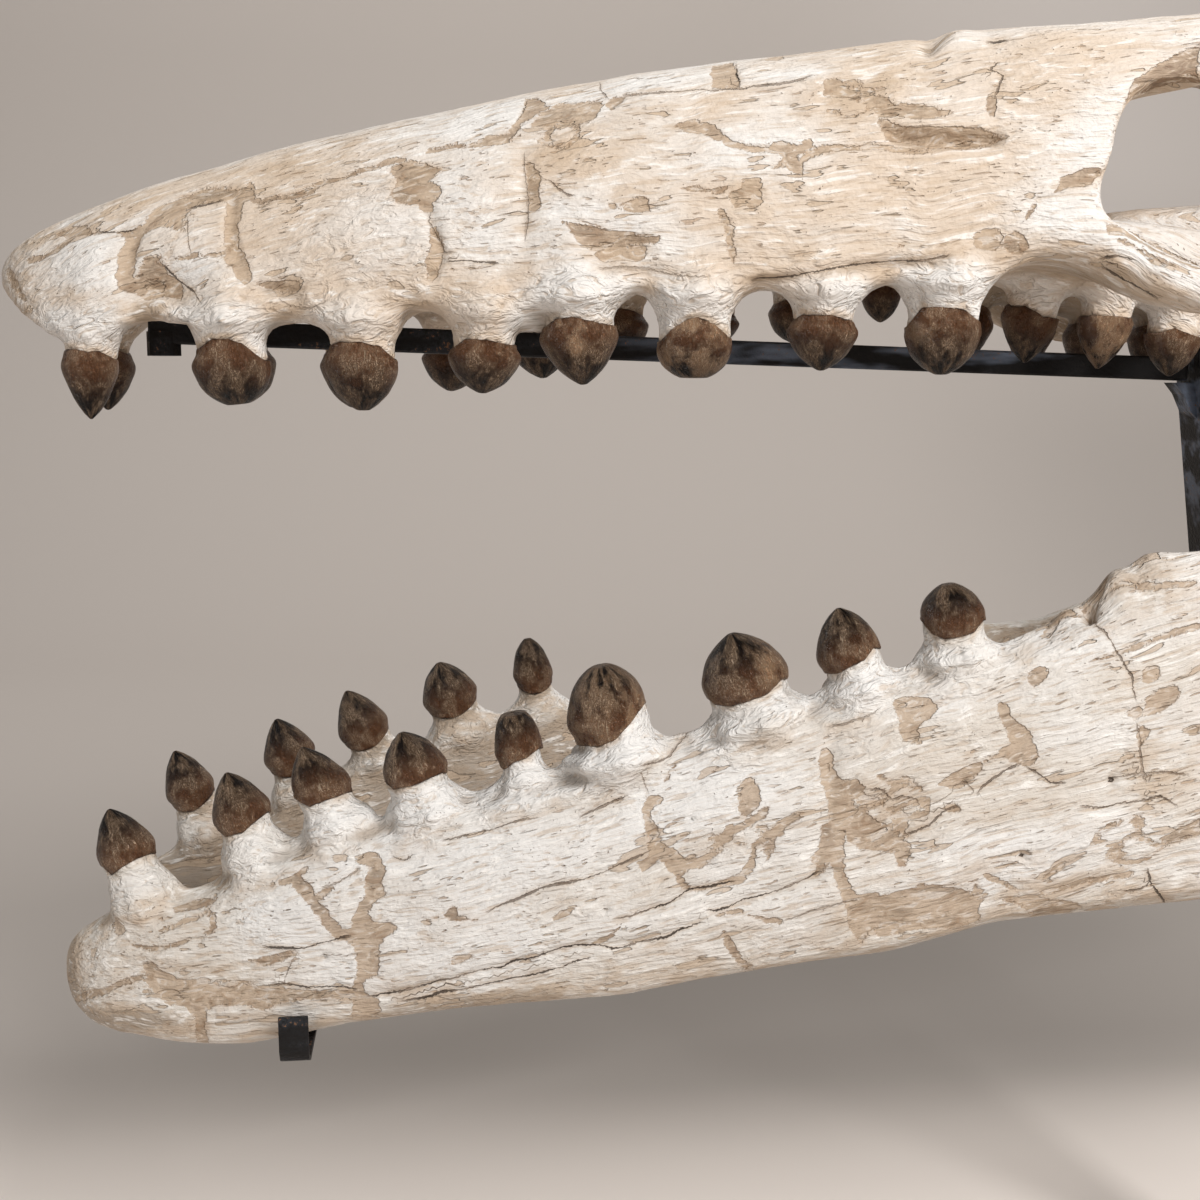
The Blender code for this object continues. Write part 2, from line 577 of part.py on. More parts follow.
def carrying_bar(name, start, end, collection, material):
    """A square bar in the middle plane between two (x, z) points, shortened at both ends so
    that its corners stay clear of upright faces there."""
    low, high = place(start[0], 0, start[1]), place(end[0], 0, end[1])
    run = high - low
    clear = run.normalized() * (GAP + BAR / 2 * abs(run.z / run.x))
    low, high = low + clear, high - clear
    run = high - low
    bar = box(name, (run.length, BAR, BAR), (low + high) / 2, 0.0006, collection, material)
    bar.rotation_euler = (0, -atan2(run.z, run.x), 0)
    return bar


def strip_outline(path, thickness):
    """The outline of a bent strip: its path offset to both sides."""
    points = [Vector(point) for point in path]
    offsets = []
    for i, point in enumerate(points):
        before = (point - points[i - 1]).normalized() if i else None
        after = (points[i + 1] - point).normalized() if i + 1 < len(points) else None
        along = (before or after) + (after or before)
        along.normalize()
        normal = Vector((-along.y, along.x))
        stretch = 1 / max(0.5, normal.dot(Vector((-(after or before).y, (after or before).x))))
        offsets.append(normal * thickness / 2 * stretch)
    return ([point + offset for point, offset in zip(points, offsets)]
            + [point - offset for point, offset in zip(reversed(points), reversed(offsets))])


def clip(name, x, side, path, collection, material):
    """A bent steel strip in the plane across the skull: path is (distance from the middle, z)."""
    outline = strip_outline([(side * y, z) for y, z in path], STRIP)
    rings = [[place(x + end * STRIP_WIDTH / 2, y, z) for y, z in outline] for end in (-1, 1)]
    item = loft(name, rings, collection)
    item.data.materials.append(material)
    return item


def clip_path(row, bar_z):
    """From the outer face of a jaw, under it, up its inner face and in to the carrying bar."""
    clear = STRIP / 2 + CLIP_CLEAR
    outer = row.y + row.thickness / 2 + clear
    inner = row.y - row.thickness / 2 - clear
    below = row.bottom - clear
    return [(outer, row.bottom + HOOK_HEIGHT), (outer, below + 0.005), (outer - 0.0015, below + 0.0018),
            (outer - 0.005, below), (inner + 0.005, below), (inner + 0.0015, below + 0.0018),
            (inner, below + 0.005), (inner, bar_z - 0.003), (inner - 0.003, bar_z),
            (BAR / 2 + GAP, bar_z)]


def post_front(z):
    """Where the leaning post's front face is at a height."""
    return POST_FRONT[0] + (POST_FRONT[1] - z) * POST_LEAN


def build_post(foot, parts, tools, steel):
    """A square post that leans forward, level at its foot and its head, with a curved gusset."""
    middle = POST_SIDE / 2
    rings = []
    for z in (foot, HEAD_TOP):
        front = post_front(z)
        back = front + POST_SIDE
        corners = [(front, -middle), (back, -middle), (back, middle), (front, middle)]
        rings.append([place(x, y, z) for x, y in corners])
    post = loft("stand_post", rings, parts)
    post.data.materials.append(steel)
    under = palate_bar_z(post_front(0)) - BAR / 2 - 2 * GAP
    front = post_front(under)
    gusset = [(front - 0.0068, under), (front - 0.0036, under - 0.0038), (front - 0.0008, under - 0.0095),
              (front + 0.0080, under - 0.0180), (front + 0.0080, under)]
    join(post, prism("gusset", gusset, -BAR / 2, BAR / 2, True, tools))


def palate_bar_z(x):
    """Height of the palate bar's centre line."""
    return BAR_TIP[1] + BAR_SLOPE * (x - BAR_TIP[0])


def build_stand(parts, tools, steel):
    floor = -MOUTH_HEIGHT
    plate_top = floor + BASE_SIZE[2]
    box("stand_base", BASE_SIZE, place(BASE_X, 0, floor + BASE_SIZE[2] / 2), 0.0015, parts, steel)
    build_post(plate_top + GAP, parts, tools, steel)

    lean_room = BAR * POST_LEAN
    level = palate_bar_z(post_front(0))
    end = (post_front(level) - lean_room, level)
    bar = carrying_bar("palate_bar", BAR_TIP, end, parts, steel)
    pad_x, pad_radius, pad_depth = PAD
    pad = turned("pad", [(0, 0), (pad_radius, 0), (pad_radius, -pad_depth), (0, -pad_depth)], tools)
    pad.location = place(pad_x, 0, palate_bar_z(pad_x))
    join(bar, pad)

    front_end = (post_front(JAW_BAR_END) - lean_room, JAW_BAR_END)
    carrying_bar("jaw_bar_front", JAW_BAR_TIP, front_end, parts, steel)
    rear_start = (front_end[0] + POST_SIDE + 2 * lean_room, JAW_BAR_END)
    rear_end = (REAR_CLIP_X + REAR_BAR_BEYOND, JAW_BAR_END + REAR_BAR_RISE)
    carrying_bar("jaw_bar_rear", rear_start, rear_end, parts, steel)

    front_height = between([JAW_BAR_TIP, front_end], FRONT_CLIP_X)
    rear_height = between([rear_start, rear_end], REAR_CLIP_X)
    for side, word in ((-1, "left"), (1, "right")):
        front_path = clip_path(jaw_at(side, FRONT_CLIP_X), front_height)
        clip("jaw_clip_" + word, FRONT_CLIP_X, side, front_path, parts, steel)
        rear_path = clip_path(jaw_at(side, REAR_CLIP_X), rear_height)
        clip("rear_clip_" + word, REAR_CLIP_X, side, rear_path, parts, steel)


def main():
    clear_scene()
    parts = new_collection("fossil_skull")
    tools = new_collection("shaping_tools")
    bone, jaw_bone, enamel, steel = [new_material(name) for name in COLOURS]
    skull = build_skull(parts, tools, bone)
    palate_line = [(x, z - half_height) for x, y, z, across, half_height in PALATE_BONE]
    for side in (-1, 1):
        upper = row_of_teeth(UPPER_TEETH, side, UPPER_SHEAR, RIGHT_UPPER_CHANGES)
        margin = [(row.x, row.margin) for row in SKULL]
        if side > 0:
            upper = upper + [RIGHT_EXTRA]
            margin = [(x, z + between(RIGHT_LIFT, x)) for x, z in margin]
        build_teeth(skull, upper, side, "upper", margin, True, parts, tools, enamel)
        build_teeth(skull, PALATE_TEETH, side, "palate", palate_line, True, parts, tools, enamel)
        jaw = build_jaw(side, parts, jaw_bone)
        edge = [(row.x, row.top) for row in jaw_rows(side)]
        lower = row_of_teeth(LOWER_TEETH, side, LOWER_SHEAR, RIGHT_LOWER_CHANGES)
        if side > 0:
            lower = lower[:RIGHT_LOWER_COUNT]
        build_teeth(jaw, lower, side, "lower", edge, False, parts, tools, enamel)
    build_stand(parts, tools, steel)


main()
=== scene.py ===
"""Looks of the mounted fossil skull: cracked and filled bone, brown wrinkled crowns, black steel.

The skull's own units are those of its model: lengths run from the snout tip, heights from the
mouth line, and place() turns them into the frame. What the photograph shows on the left side is
written as points of its 1200 by 1200 picture, and found on the bone by looking through the
camera. Every other side gets the same kinds of crack, filler and wear from repeatable noise.
"""

from collections import namedtuple
from math import cos, pi, radians, sin

import bmesh
import bpy
import numpy as np
from mathutils import Matrix, Vector


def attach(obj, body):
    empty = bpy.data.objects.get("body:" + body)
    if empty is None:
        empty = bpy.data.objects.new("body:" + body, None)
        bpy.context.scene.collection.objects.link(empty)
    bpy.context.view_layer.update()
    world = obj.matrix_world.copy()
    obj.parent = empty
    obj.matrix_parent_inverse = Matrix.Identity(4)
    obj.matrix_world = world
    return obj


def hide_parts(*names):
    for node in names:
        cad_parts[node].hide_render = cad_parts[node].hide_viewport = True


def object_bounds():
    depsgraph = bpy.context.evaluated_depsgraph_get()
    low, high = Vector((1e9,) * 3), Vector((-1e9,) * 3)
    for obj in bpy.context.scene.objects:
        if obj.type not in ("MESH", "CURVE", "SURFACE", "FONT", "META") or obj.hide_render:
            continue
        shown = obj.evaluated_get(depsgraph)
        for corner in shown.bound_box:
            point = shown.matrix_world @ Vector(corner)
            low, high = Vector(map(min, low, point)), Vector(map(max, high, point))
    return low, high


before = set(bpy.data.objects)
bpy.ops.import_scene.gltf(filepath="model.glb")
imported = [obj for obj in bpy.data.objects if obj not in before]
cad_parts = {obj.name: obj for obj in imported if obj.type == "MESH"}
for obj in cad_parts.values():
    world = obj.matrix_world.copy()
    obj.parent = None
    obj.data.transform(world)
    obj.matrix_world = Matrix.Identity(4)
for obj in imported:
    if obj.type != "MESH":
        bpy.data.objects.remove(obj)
CAD_BOX = [list(corner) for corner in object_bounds()]

# Frame of the skull
LENGTH = 0.640
MOUTH_HEIGHT = 0.345

# Camera, found from the photograph
PICTURE = 1200
CAMERA_PLACE = (0.1349, -0.4703, 0.0)
CAMERA_YAW = -6.033
CAMERA_PITCH = -8.627
LENS = 43.5
SENSOR = 36.0
FOCAL_PIXELS = PICTURE * LENS / SENSOR

MM = 0.001


def place(x, y, z):
    """A point given in the skull's own lengths and heights, in the frame."""
    return Vector((x - LENGTH / 2, y, z + MOUTH_HEIGHT))


# Filled cracks of the skull's left side: half width in pixels, darkness from 0 (pale filler) to
# 1 (open dark crack), and the route in the picture
SKULL_SEAMS = [
    (2.6, 0.2, [(28, 260), (40, 257), (52, 252), (58, 247), (70, 241)]),
    (1.3, 0.7, [(94, 232), (112, 232), (124, 230), (138, 228)]),
    (7.0, 0.1, [(142, 232), (152, 223), (164, 216), (177, 208), (190, 201), (208, 196), (226, 194),
                (248, 193)]),
    (7.0, 0.1, [(140, 228), (134, 242), (128, 258), (124, 272), (121, 286)]),
    (7.5, 0.1, [(242, 194), (234, 208), (231, 224), (231, 244), (236, 258), (242, 270), (246, 284)]),
    (1.5, 0.8, [(158, 262), (166, 268), (176, 279), (190, 290), (200, 303)]),
    (2.0, 0.35, [(145, 256), (160, 258), (176, 257), (200, 255), (222, 254)]),
    (1.0, 0.5, [(188, 218), (189, 235), (191, 254)]),
    (1.0, 0.7, [(186, 209), (200, 206), (214, 201), (224, 199)]),
    (2.8, 0.45, [(252, 201), (262, 203), (276, 198), (300, 194), (312, 189), (322, 183), (340, 178)]),
    (2.0, 0.4, [(336, 179), (352, 173), (366, 168), (384, 162), (404, 159)]),
    (1.4, 0.1, [(276, 298), (288, 305), (300, 308), (316, 305), (328, 300)]),
    (1.6, 0.2, [(430, 212), (428, 222), (434, 232), (440, 241), (444, 252), (456, 253)]),
    (6.5, 0.1, [(433, 232), (437, 246), (434, 262), (431, 280)]),
    (3.0, 0.5, [(446, 271), (460, 272), (474, 270), (486, 266)]),
    (1.5, 0.7, [(444, 262), (470, 262), (500, 263)]),
    (2.0, 0.35, [(428, 150), (446, 147), (470, 146), (492, 143), (514, 139)]),
    (1.4, 0.7, [(516, 122), (522, 110), (527, 99)]),
    (1.4, 0.1, [(524, 150), (524, 166), (525, 182), (527, 200), (526, 216), (524, 230), (522, 242)]),
    (1.2, 0.6, [(540, 178), (551, 180), (560, 190), (568, 196), (577, 197)]),
    (1.2, 0.7, [(599, 80), (602, 91), (608, 101)]),
    (2.6, 0.1, [(720, 135), (730, 145), (750, 150), (782, 152)]),
    (1.4, 0.45, [(620, 96), (650, 93), (688, 90), (712, 90), (738, 88), (762, 84), (790, 80), (812, 74)]),
    (1.3, 0.8, [(735, 64), (737, 74), (740, 86)]),
    (4.0, 0.1, [(722, 212), (728, 224), (730, 240), (733, 256), (731, 274)]),
    (3.2, 0.1, [(800, 162), (808, 154), (822, 150), (842, 147), (870, 147), (900, 149), (936, 150)]),
    (1.2, 0.6, [(1000, 62), (990, 70), (1004, 76), (1000, 86), (995, 100)]),
    (1.2, 0.8, [(984, 44), (996, 42), (1010, 39)]),
    (1.3, 0.8, [(1100, 262), (1108, 258), (1118, 256), (1136, 260)]),
    (1.5, 0.8, [(1102, 266), (1114, 273), (1134, 284), (1158, 299)]),
    (2.4, 0.15, [(1108, 226), (1126, 233), (1146, 243), (1170, 255), (1200, 268)]),
    (2.0, 0.2, [(1118, 240), (1142, 251), (1170, 264), (1200, 282)]),
    (1.4, 0.8, [(750, 281), (778, 278), (812, 271), (850, 265), (892, 261), (922, 259), (950, 256)]),
    (1.2, 0.1, [(596, 267), (624, 267), (652, 270), (682, 274), (712, 276)]),
    (3.0, 0.3, [(8, 270), (20, 296), (40, 320), (60, 338)]),
]

# Filler there in patches: darkness, and the outline in the picture; two of the dark ones are painted shade
SKULL_PATCHES = [
    (0.2, [(54, 232), (68, 228), (84, 224), (92, 231), (102, 232), (92, 236), (78, 236), (70, 242),
           (62, 235)]),
    (0.3, [(118, 231), (138, 228), (133, 238), (122, 236)]),
    (0.55, [(146, 256), (160, 262), (166, 272), (178, 280), (188, 291), (198, 303), (190, 316),
            (174, 312), (158, 300), (144, 302), (134, 294), (122, 292), (122, 282), (134, 276),
            (140, 266)]),
    (0.2, [(226, 196), (238, 189), (252, 185), (254, 197), (244, 203), (238, 210), (228, 208)]),
    (0.1, [(222, 254), (238, 252), (244, 262), (250, 280), (240, 282), (235, 270), (226, 264)]),
    (0.5, [(248, 280), (262, 282), (280, 281), (300, 280), (307, 288), (300, 297), (288, 294),
           (262, 288)]),
    (0.2, [(240, 298), (256, 302), (270, 301), (286, 307), (296, 313), (282, 312), (262, 311),
           (246, 313)]),
    (0.25, [(390, 170), (400, 162), (412, 161), (428, 164), (442, 167), (452, 169), (440, 173),
            (434, 179), (428, 184), (438, 186), (442, 192), (441, 200), (434, 204), (431, 213),
            (425, 214), (418, 206), (406, 206), (396, 203), (390, 194), (396, 186), (398, 178)]),
    (0.3, [(320, 300), (340, 300), (356, 297), (372, 299), (387, 300), (391, 306), (380, 311), (360, 310),
           (344, 308), (330, 313)]),
    (0.3, [(466, 144), (490, 137), (508, 133), (516, 123), (521, 117), (518, 134), (508, 142),
           (490, 146)]),
    (0.35, [(526, 99), (536, 97), (545, 104), (552, 110), (540, 112), (532, 119), (522, 124),
            (517, 124)]),
    (0.05, [(542, 112), (558, 104), (580, 102), (600, 100), (601, 108), (594, 119), (582, 123),
            (560, 127), (530, 127)]),
    (0.3, [(604, 104), (612, 98), (626, 96), (620, 104), (612, 111)]),
    (0.15, [(526, 158), (535, 165), (541, 177), (538, 189), (541, 205), (538, 213), (529, 211),
            (527, 196)]),
    # painted shadow: this dark patch stands for the shadow under the ridge above it
    (0.5, [(560, 221), (578, 226), (600, 226), (612, 231), (630, 233), (658, 236), (656, 242), (636, 242),
           (620, 246), (600, 246), (590, 252), (582, 246), (574, 236)]),
    (0.2, [(592, 251), (606, 246), (622, 246), (640, 243), (648, 250), (640, 262), (624, 262), (606, 267),
           (595, 262)]),
    (0.35, [(621, 202), (634, 197), (645, 195), (651, 200), (650, 210), (640, 212), (627, 212)]),
    (0.5, [(608, 203), (619, 202), (618, 211), (609, 209)]),
    (0.35, [(682, 188), (700, 186), (716, 189), (732, 185), (724, 195), (708, 195), (690, 192)]),
    (0.35, [(664, 126), (690, 121), (704, 121), (716, 126), (722, 134), (729, 141), (716, 141),
            (702, 134), (684, 130)]),
    (0.1, [(712, 63), (732, 62), (737, 72), (740, 87), (726, 88), (712, 87)]),
    (0.2, [(826, 80), (836, 77), (846, 86), (857, 92), (861, 105), (850, 100), (836, 98), (824, 94)]),
    (0.15, [(862, 94), (884, 97), (896, 104), (916, 103), (936, 108), (954, 113), (934, 118), (914, 118),
            (896, 117), (880, 117), (868, 108)]),
    (0.4, [(876, 121), (888, 121), (904, 126), (930, 128), (966, 130), (1000, 133), (1015, 135),
           (1000, 138), (986, 143), (958, 147), (940, 145), (920, 140), (902, 138), (886, 138)]),
    (0.3, [(770, 144), (786, 142), (800, 146), (808, 139), (813, 146), (801, 152), (795, 158), (803, 166),
           (802, 177), (794, 171), (784, 166), (771, 169), (784, 158), (776, 152)]),
    (0.1, [(732, 190), (741, 187), (742, 181), (752, 178), (761, 180), (760, 206), (752, 211), (744, 204),
           (736, 209), (729, 198)]),
    (0.3, [(892, 246), (902, 241), (911, 246), (906, 252), (896, 250)]),
    (0.2, [(980, 232), (1000, 229), (1003, 240), (1000, 253), (990, 257), (976, 256), (968, 246)]),
    (0.5, [(989, 98), (997, 98), (997, 110), (993, 119), (989, 111)]),
    (0.4, [(1063, 176), (1078, 171), (1092, 166), (1107, 170), (1098, 180), (1086, 188), (1068, 189),
           (1053, 195), (1060, 184)]),
    (0.4, [(1028, 208), (1037, 203), (1032, 214), (1027, 221), (1023, 218)]),
    (0.5, [(1006, 236), (1016, 230), (1025, 236), (1030, 246), (1020, 257), (1008, 254), (1001, 248)]),
    # painted shade: this dark patch stands for the shade under the brow above the orbit
    (0.9, [(1124, 110), (1130, 92), (1135, 80), (1146, 72), (1154, 64), (1165, 60), (1175, 52),
           (1200, 43), (1200, 98), (1170, 97), (1146, 103)]),
    (0.2, [(1107, 223), (1121, 226), (1117, 234), (1107, 233)]),
]
# Relief of the skull's left side: middle in the picture, half sizes in pixels, tilt in degrees
# (rising to the right), and height in millimetres
SKULL_RELIEF = [
    (160, 288, 34, 24, -8, -3.4), (92, 268, 34, 46, 0, 1.2), (196, 236, 38, 22, 6, 0.8),
    (225, 292, 20, 30, 0, 1.2), (332, 245, 96, 58, 4, 1.3), (350, 322, 34, 22, 0, 1.0),
    (288, 318, 26, 12, 0, -1.4), (410, 310, 18, 14, 0, -1.2), (480, 292, 26, 32, 0, 1.2),
    (574, 262, 28, 42, 10, 1.8), (618, 250, 44, 20, 4, -1.8), (690, 300, 30, 22, 0, 1.0),
    (524, 200, 8, 60, 0, -0.9), (606, 205, 70, 34, 5, 0.8), (480, 200, 36, 42, 2, 0.8),
    (820, 215, 120, 40, 7, 0.8), (1000, 140, 46, 14, 0, 0.6), (640, 110, 90, 14, 10, 0.6),
    (955, 42, 26, 9, 6, 1.2), (928, 47, 8, 9, -30, -0.9), (1080, 140, 34, 40, 0, -0.8),
    (1172, 74, 34, 18, 20, -2.2), (945, 290, 34, 26, 0, 1.0), (822, 296, 30, 22, 0, 0.8),
]
# Long hollows and lips there: half width in pixels, height in millimetres, route
SKULL_GROOVES = [
    (7.0, -3.2, [(884, 133), (906, 138), (936, 142), (960, 143), (986, 140), (1008, 136)]),
    (5.0, 1.1, [(872, 122), (900, 121), (930, 125), (966, 129), (1004, 132)]),
    (6.0, -1.3, [(745, 286), (780, 281), (815, 275), (852, 270), (895, 266), (930, 264), (958, 262)]),
    (5.0, 0.9, [(740, 272), (780, 269), (815, 262), (852, 256), (895, 252), (930, 250), (956, 247)]),
    (6.0, -1.1, [(596, 272), (630, 274), (660, 276), (700, 281), (730, 281)]),
    (4.0, -0.8, [(926, 48), (936, 42), (950, 34), (968, 30)]),
    (7.0, -1.6, [(252, 290), (280, 294), (306, 304)]),
    (8.0, -1.2, [(142, 226), (133, 242), (127, 262), (120, 290)]),
    (5.0, -0.8, [(233, 190), (231, 212), (231, 240), (240, 268)]),
    (6.0, -1.4, [(428, 205), (433, 230), (442, 258), (430, 284)]),
    (8.0, -1.4, [(1140, 90), (1160, 88), (1200, 86)]),
]
# Washes of colour there: middle, half sizes and tilt as above, and strength: tan above 0, white below;
# some tan ones are partly painted shade
SKULL_WASHES = [
    (860, 92, 46, 26, 24, 1.0), (712, 110, 60, 18, 12, 0.5), (560, 150, 40, 26, 10, 0.6),
    (414, 180, 24, 30, 0, 0.8), (746, 192, 18, 18, 0, 0.7), (20, 285, 18, 40, 20, 0.8),
    (70, 300, 30, 18, -40, 0.6), (160, 292, 34, 22, 0, 0.5), (616, 250, 44, 16, 4, 0.9),
    (940, 142, 60, 9, -4, 0.9), (130, 205, 70, 14, 25, 0.9), (300, 160, 110, 14, 14, 0.8),
    (40, 232, 30, 12, 35, 0.8), (1130, 262, 40, 9, -28, 0.5), (1080, 183, 26, 12, 20, 0.8),
    (955, 245, 34, 12, 14, 0.6), (492, 116, 36, 12, 18, -1.2), (640, 84, 60, 8, 10, -0.7),
    (800, 72, 60, 7, 8, -0.8), (1088, 142, 36, 44, 0, -0.7), (1080, 222, 60, 24, -16, -0.7),
    # partly painted shade: the washes at (150, 312), (182, 322) and (300, 316) darken the recessed shelf
    # above the front roots as well as staining it
    (1160, 262, 50, 22, -24, -0.6), (150, 312, 22, 12, 0, 1.3), (182, 322, 10, 10, 0, 1.0),
    (300, 316, 26, 9, 0, 1.0), (1070, 275, 70, 12, -14, 0.5), (350, 245, 84, 44, 4, -0.6),
    (90, 270, 34, 40, 0, -0.6), (200, 278, 36, 22, -14, -0.9), (478, 245, 30, 24, 0, -0.6),
    (1150, 230, 60, 16, -20, -0.6),
]

# The same kinds of list for the left lower jaw
JAW_SEAMS = [
    (3.5, 0.4, [(78, 999), (94, 993), (110, 989), (124, 983), (142, 979)]),
    (3.0, 0.35, [(130, 945), (150, 949), (176, 944), (196, 937), (213, 931), (212, 918), (207, 909)]),
    (3.0, 0.1, [(158, 931), (176, 926), (196, 918), (206, 913)]),
    (3.8, 0.15, [(266, 866), (270, 876), (280, 881), (292, 880), (300, 873), (308, 867)]),
    (6.0, 0.3, [(295, 876), (304, 888), (312, 900), (322, 912), (331, 925), (342, 937)]),
    (3.6, 0.2, [(312, 902), (322, 894), (331, 887)]),
    (1.3, 0.5, [(320, 888), (340, 880), (362, 868)]),
    (1.2, 0.85, [(262, 946), (288, 949), (306, 949), (330, 941), (352, 937)]),
    (1.0, 0.6, [(292, 960), (287, 970), (284, 982)]),
    (1.4, 0.8, [(262, 986), (284, 985), (310, 988), (340, 988), (358, 992)]),
    (1.2, 0.5, [(392, 858), (406, 861), (416, 854)]),
    (1.3, 0.5, [(440, 842), (480, 832), (510, 824), (540, 818)]),
    (1.3, 0.45, [(576, 820), (592, 812), (610, 803), (628, 795)]),
    (1.4, 0.6, [(486, 912), (504, 902), (520, 896), (540, 888), (558, 884), (580, 880), (602, 873),
                (622, 863), (652, 849)]),
    (1.5, 0.95, [(368, 997), (400, 992), (430, 986), (460, 978), (490, 970), (504, 968), (520, 960),
                 (540, 956), (560, 949), (582, 945), (600, 946), (612, 950), (640, 944), (664, 938),
                 (690, 926), (704, 922)]),
    (1.2, 0.9, [(400, 1001), (430, 997), (460, 990), (500, 982), (524, 976), (550, 970), (572, 962),
                (592, 956)]),
    (1.3, 0.9, [(612, 919), (630, 917), (650, 910), (668, 904), (686, 893), (692, 890), (716, 886),
                (738, 882)]),
    (1.3, 0.95, [(704, 911), (716, 912), (732, 908), (744, 901), (776, 892), (800, 881), (822, 872)]),
    (2.6, 0.3, [(716, 916), (740, 912), (760, 918), (782, 920)]),
    (1.5, 0.6, [(782, 920), (810, 912), (838, 905), (858, 901)]),
    (1.2, 0.6, [(638, 768), (642, 780), (647, 794)]),
    (1.6, 0.55, [(638, 768), (656, 763), (668, 756), (676, 746), (690, 731), (706, 719)]),
    (2.2, 0.35, [(676, 762), (668, 772), (664, 782)]),
    (1.8, 0.3, [(826, 727), (844, 724), (862, 719), (882, 708)]),
    (1.4, 1.0, [(827, 762), (829, 772)]),
    (1.6, 0.6, [(866, 790), (880, 788), (891, 801), (902, 796), (916, 800), (922, 812)]),
    (1.8, 0.5, [(918, 810), (940, 800), (951, 794), (953, 786), (965, 782), (972, 790), (975, 798)]),
    (1.5, 0.6, [(974, 796), (990, 782), (1008, 770), (1022, 763)]),
    (1.6, 0.6, [(900, 836), (928, 826), (944, 811), (960, 804)]),
    (2.2, 0.3, [(984, 762), (1000, 758), (1016, 754)]),
    (1.5, 0.7, [(1026, 766), (1040, 775), (1052, 784), (1066, 784)]),
    (1.2, 0.5, [(1076, 808), (1100, 806), (1122, 802), (1142, 800), (1160, 796), (1178, 807)]),
    (1.2, 0.4, [(1112, 776), (1140, 774), (1166, 772), (1190, 776)]),
    (1.3, 0.6, [(1092, 621), (1104, 630), (1112, 642), (1124, 662), (1132, 676), (1135, 702)]),
    (1.4, 0.6, [(1135, 722), (1141, 740), (1142, 762), (1147, 785)]),
    (3.0, 1.0, [(1078, 604), (1086, 612), (1095, 622)]),
    (1.4, 0.8, [(1148, 866), (1152, 882), (1161, 894), (1165, 906)]),
    (1.3, 0.5, [(1120, 892), (1140, 890), (1154, 885)]),
    (2.6, 0.2, [(984, 876), (1002, 884), (1020, 893)]),
    (2.4, 0.2, [(1042, 880), (1052, 872), (1064, 862)]),
    (3.2, 0.25, [(1040, 893), (1070, 886), (1100, 879), (1132, 874)]),
    (2.2, 0.3, [(1096, 660), (1120, 652), (1148, 642), (1180, 630), (1200, 624)]),
    (3.0, 0.15, [(1110, 600), (1130, 592), (1160, 588), (1196, 582)]),
]
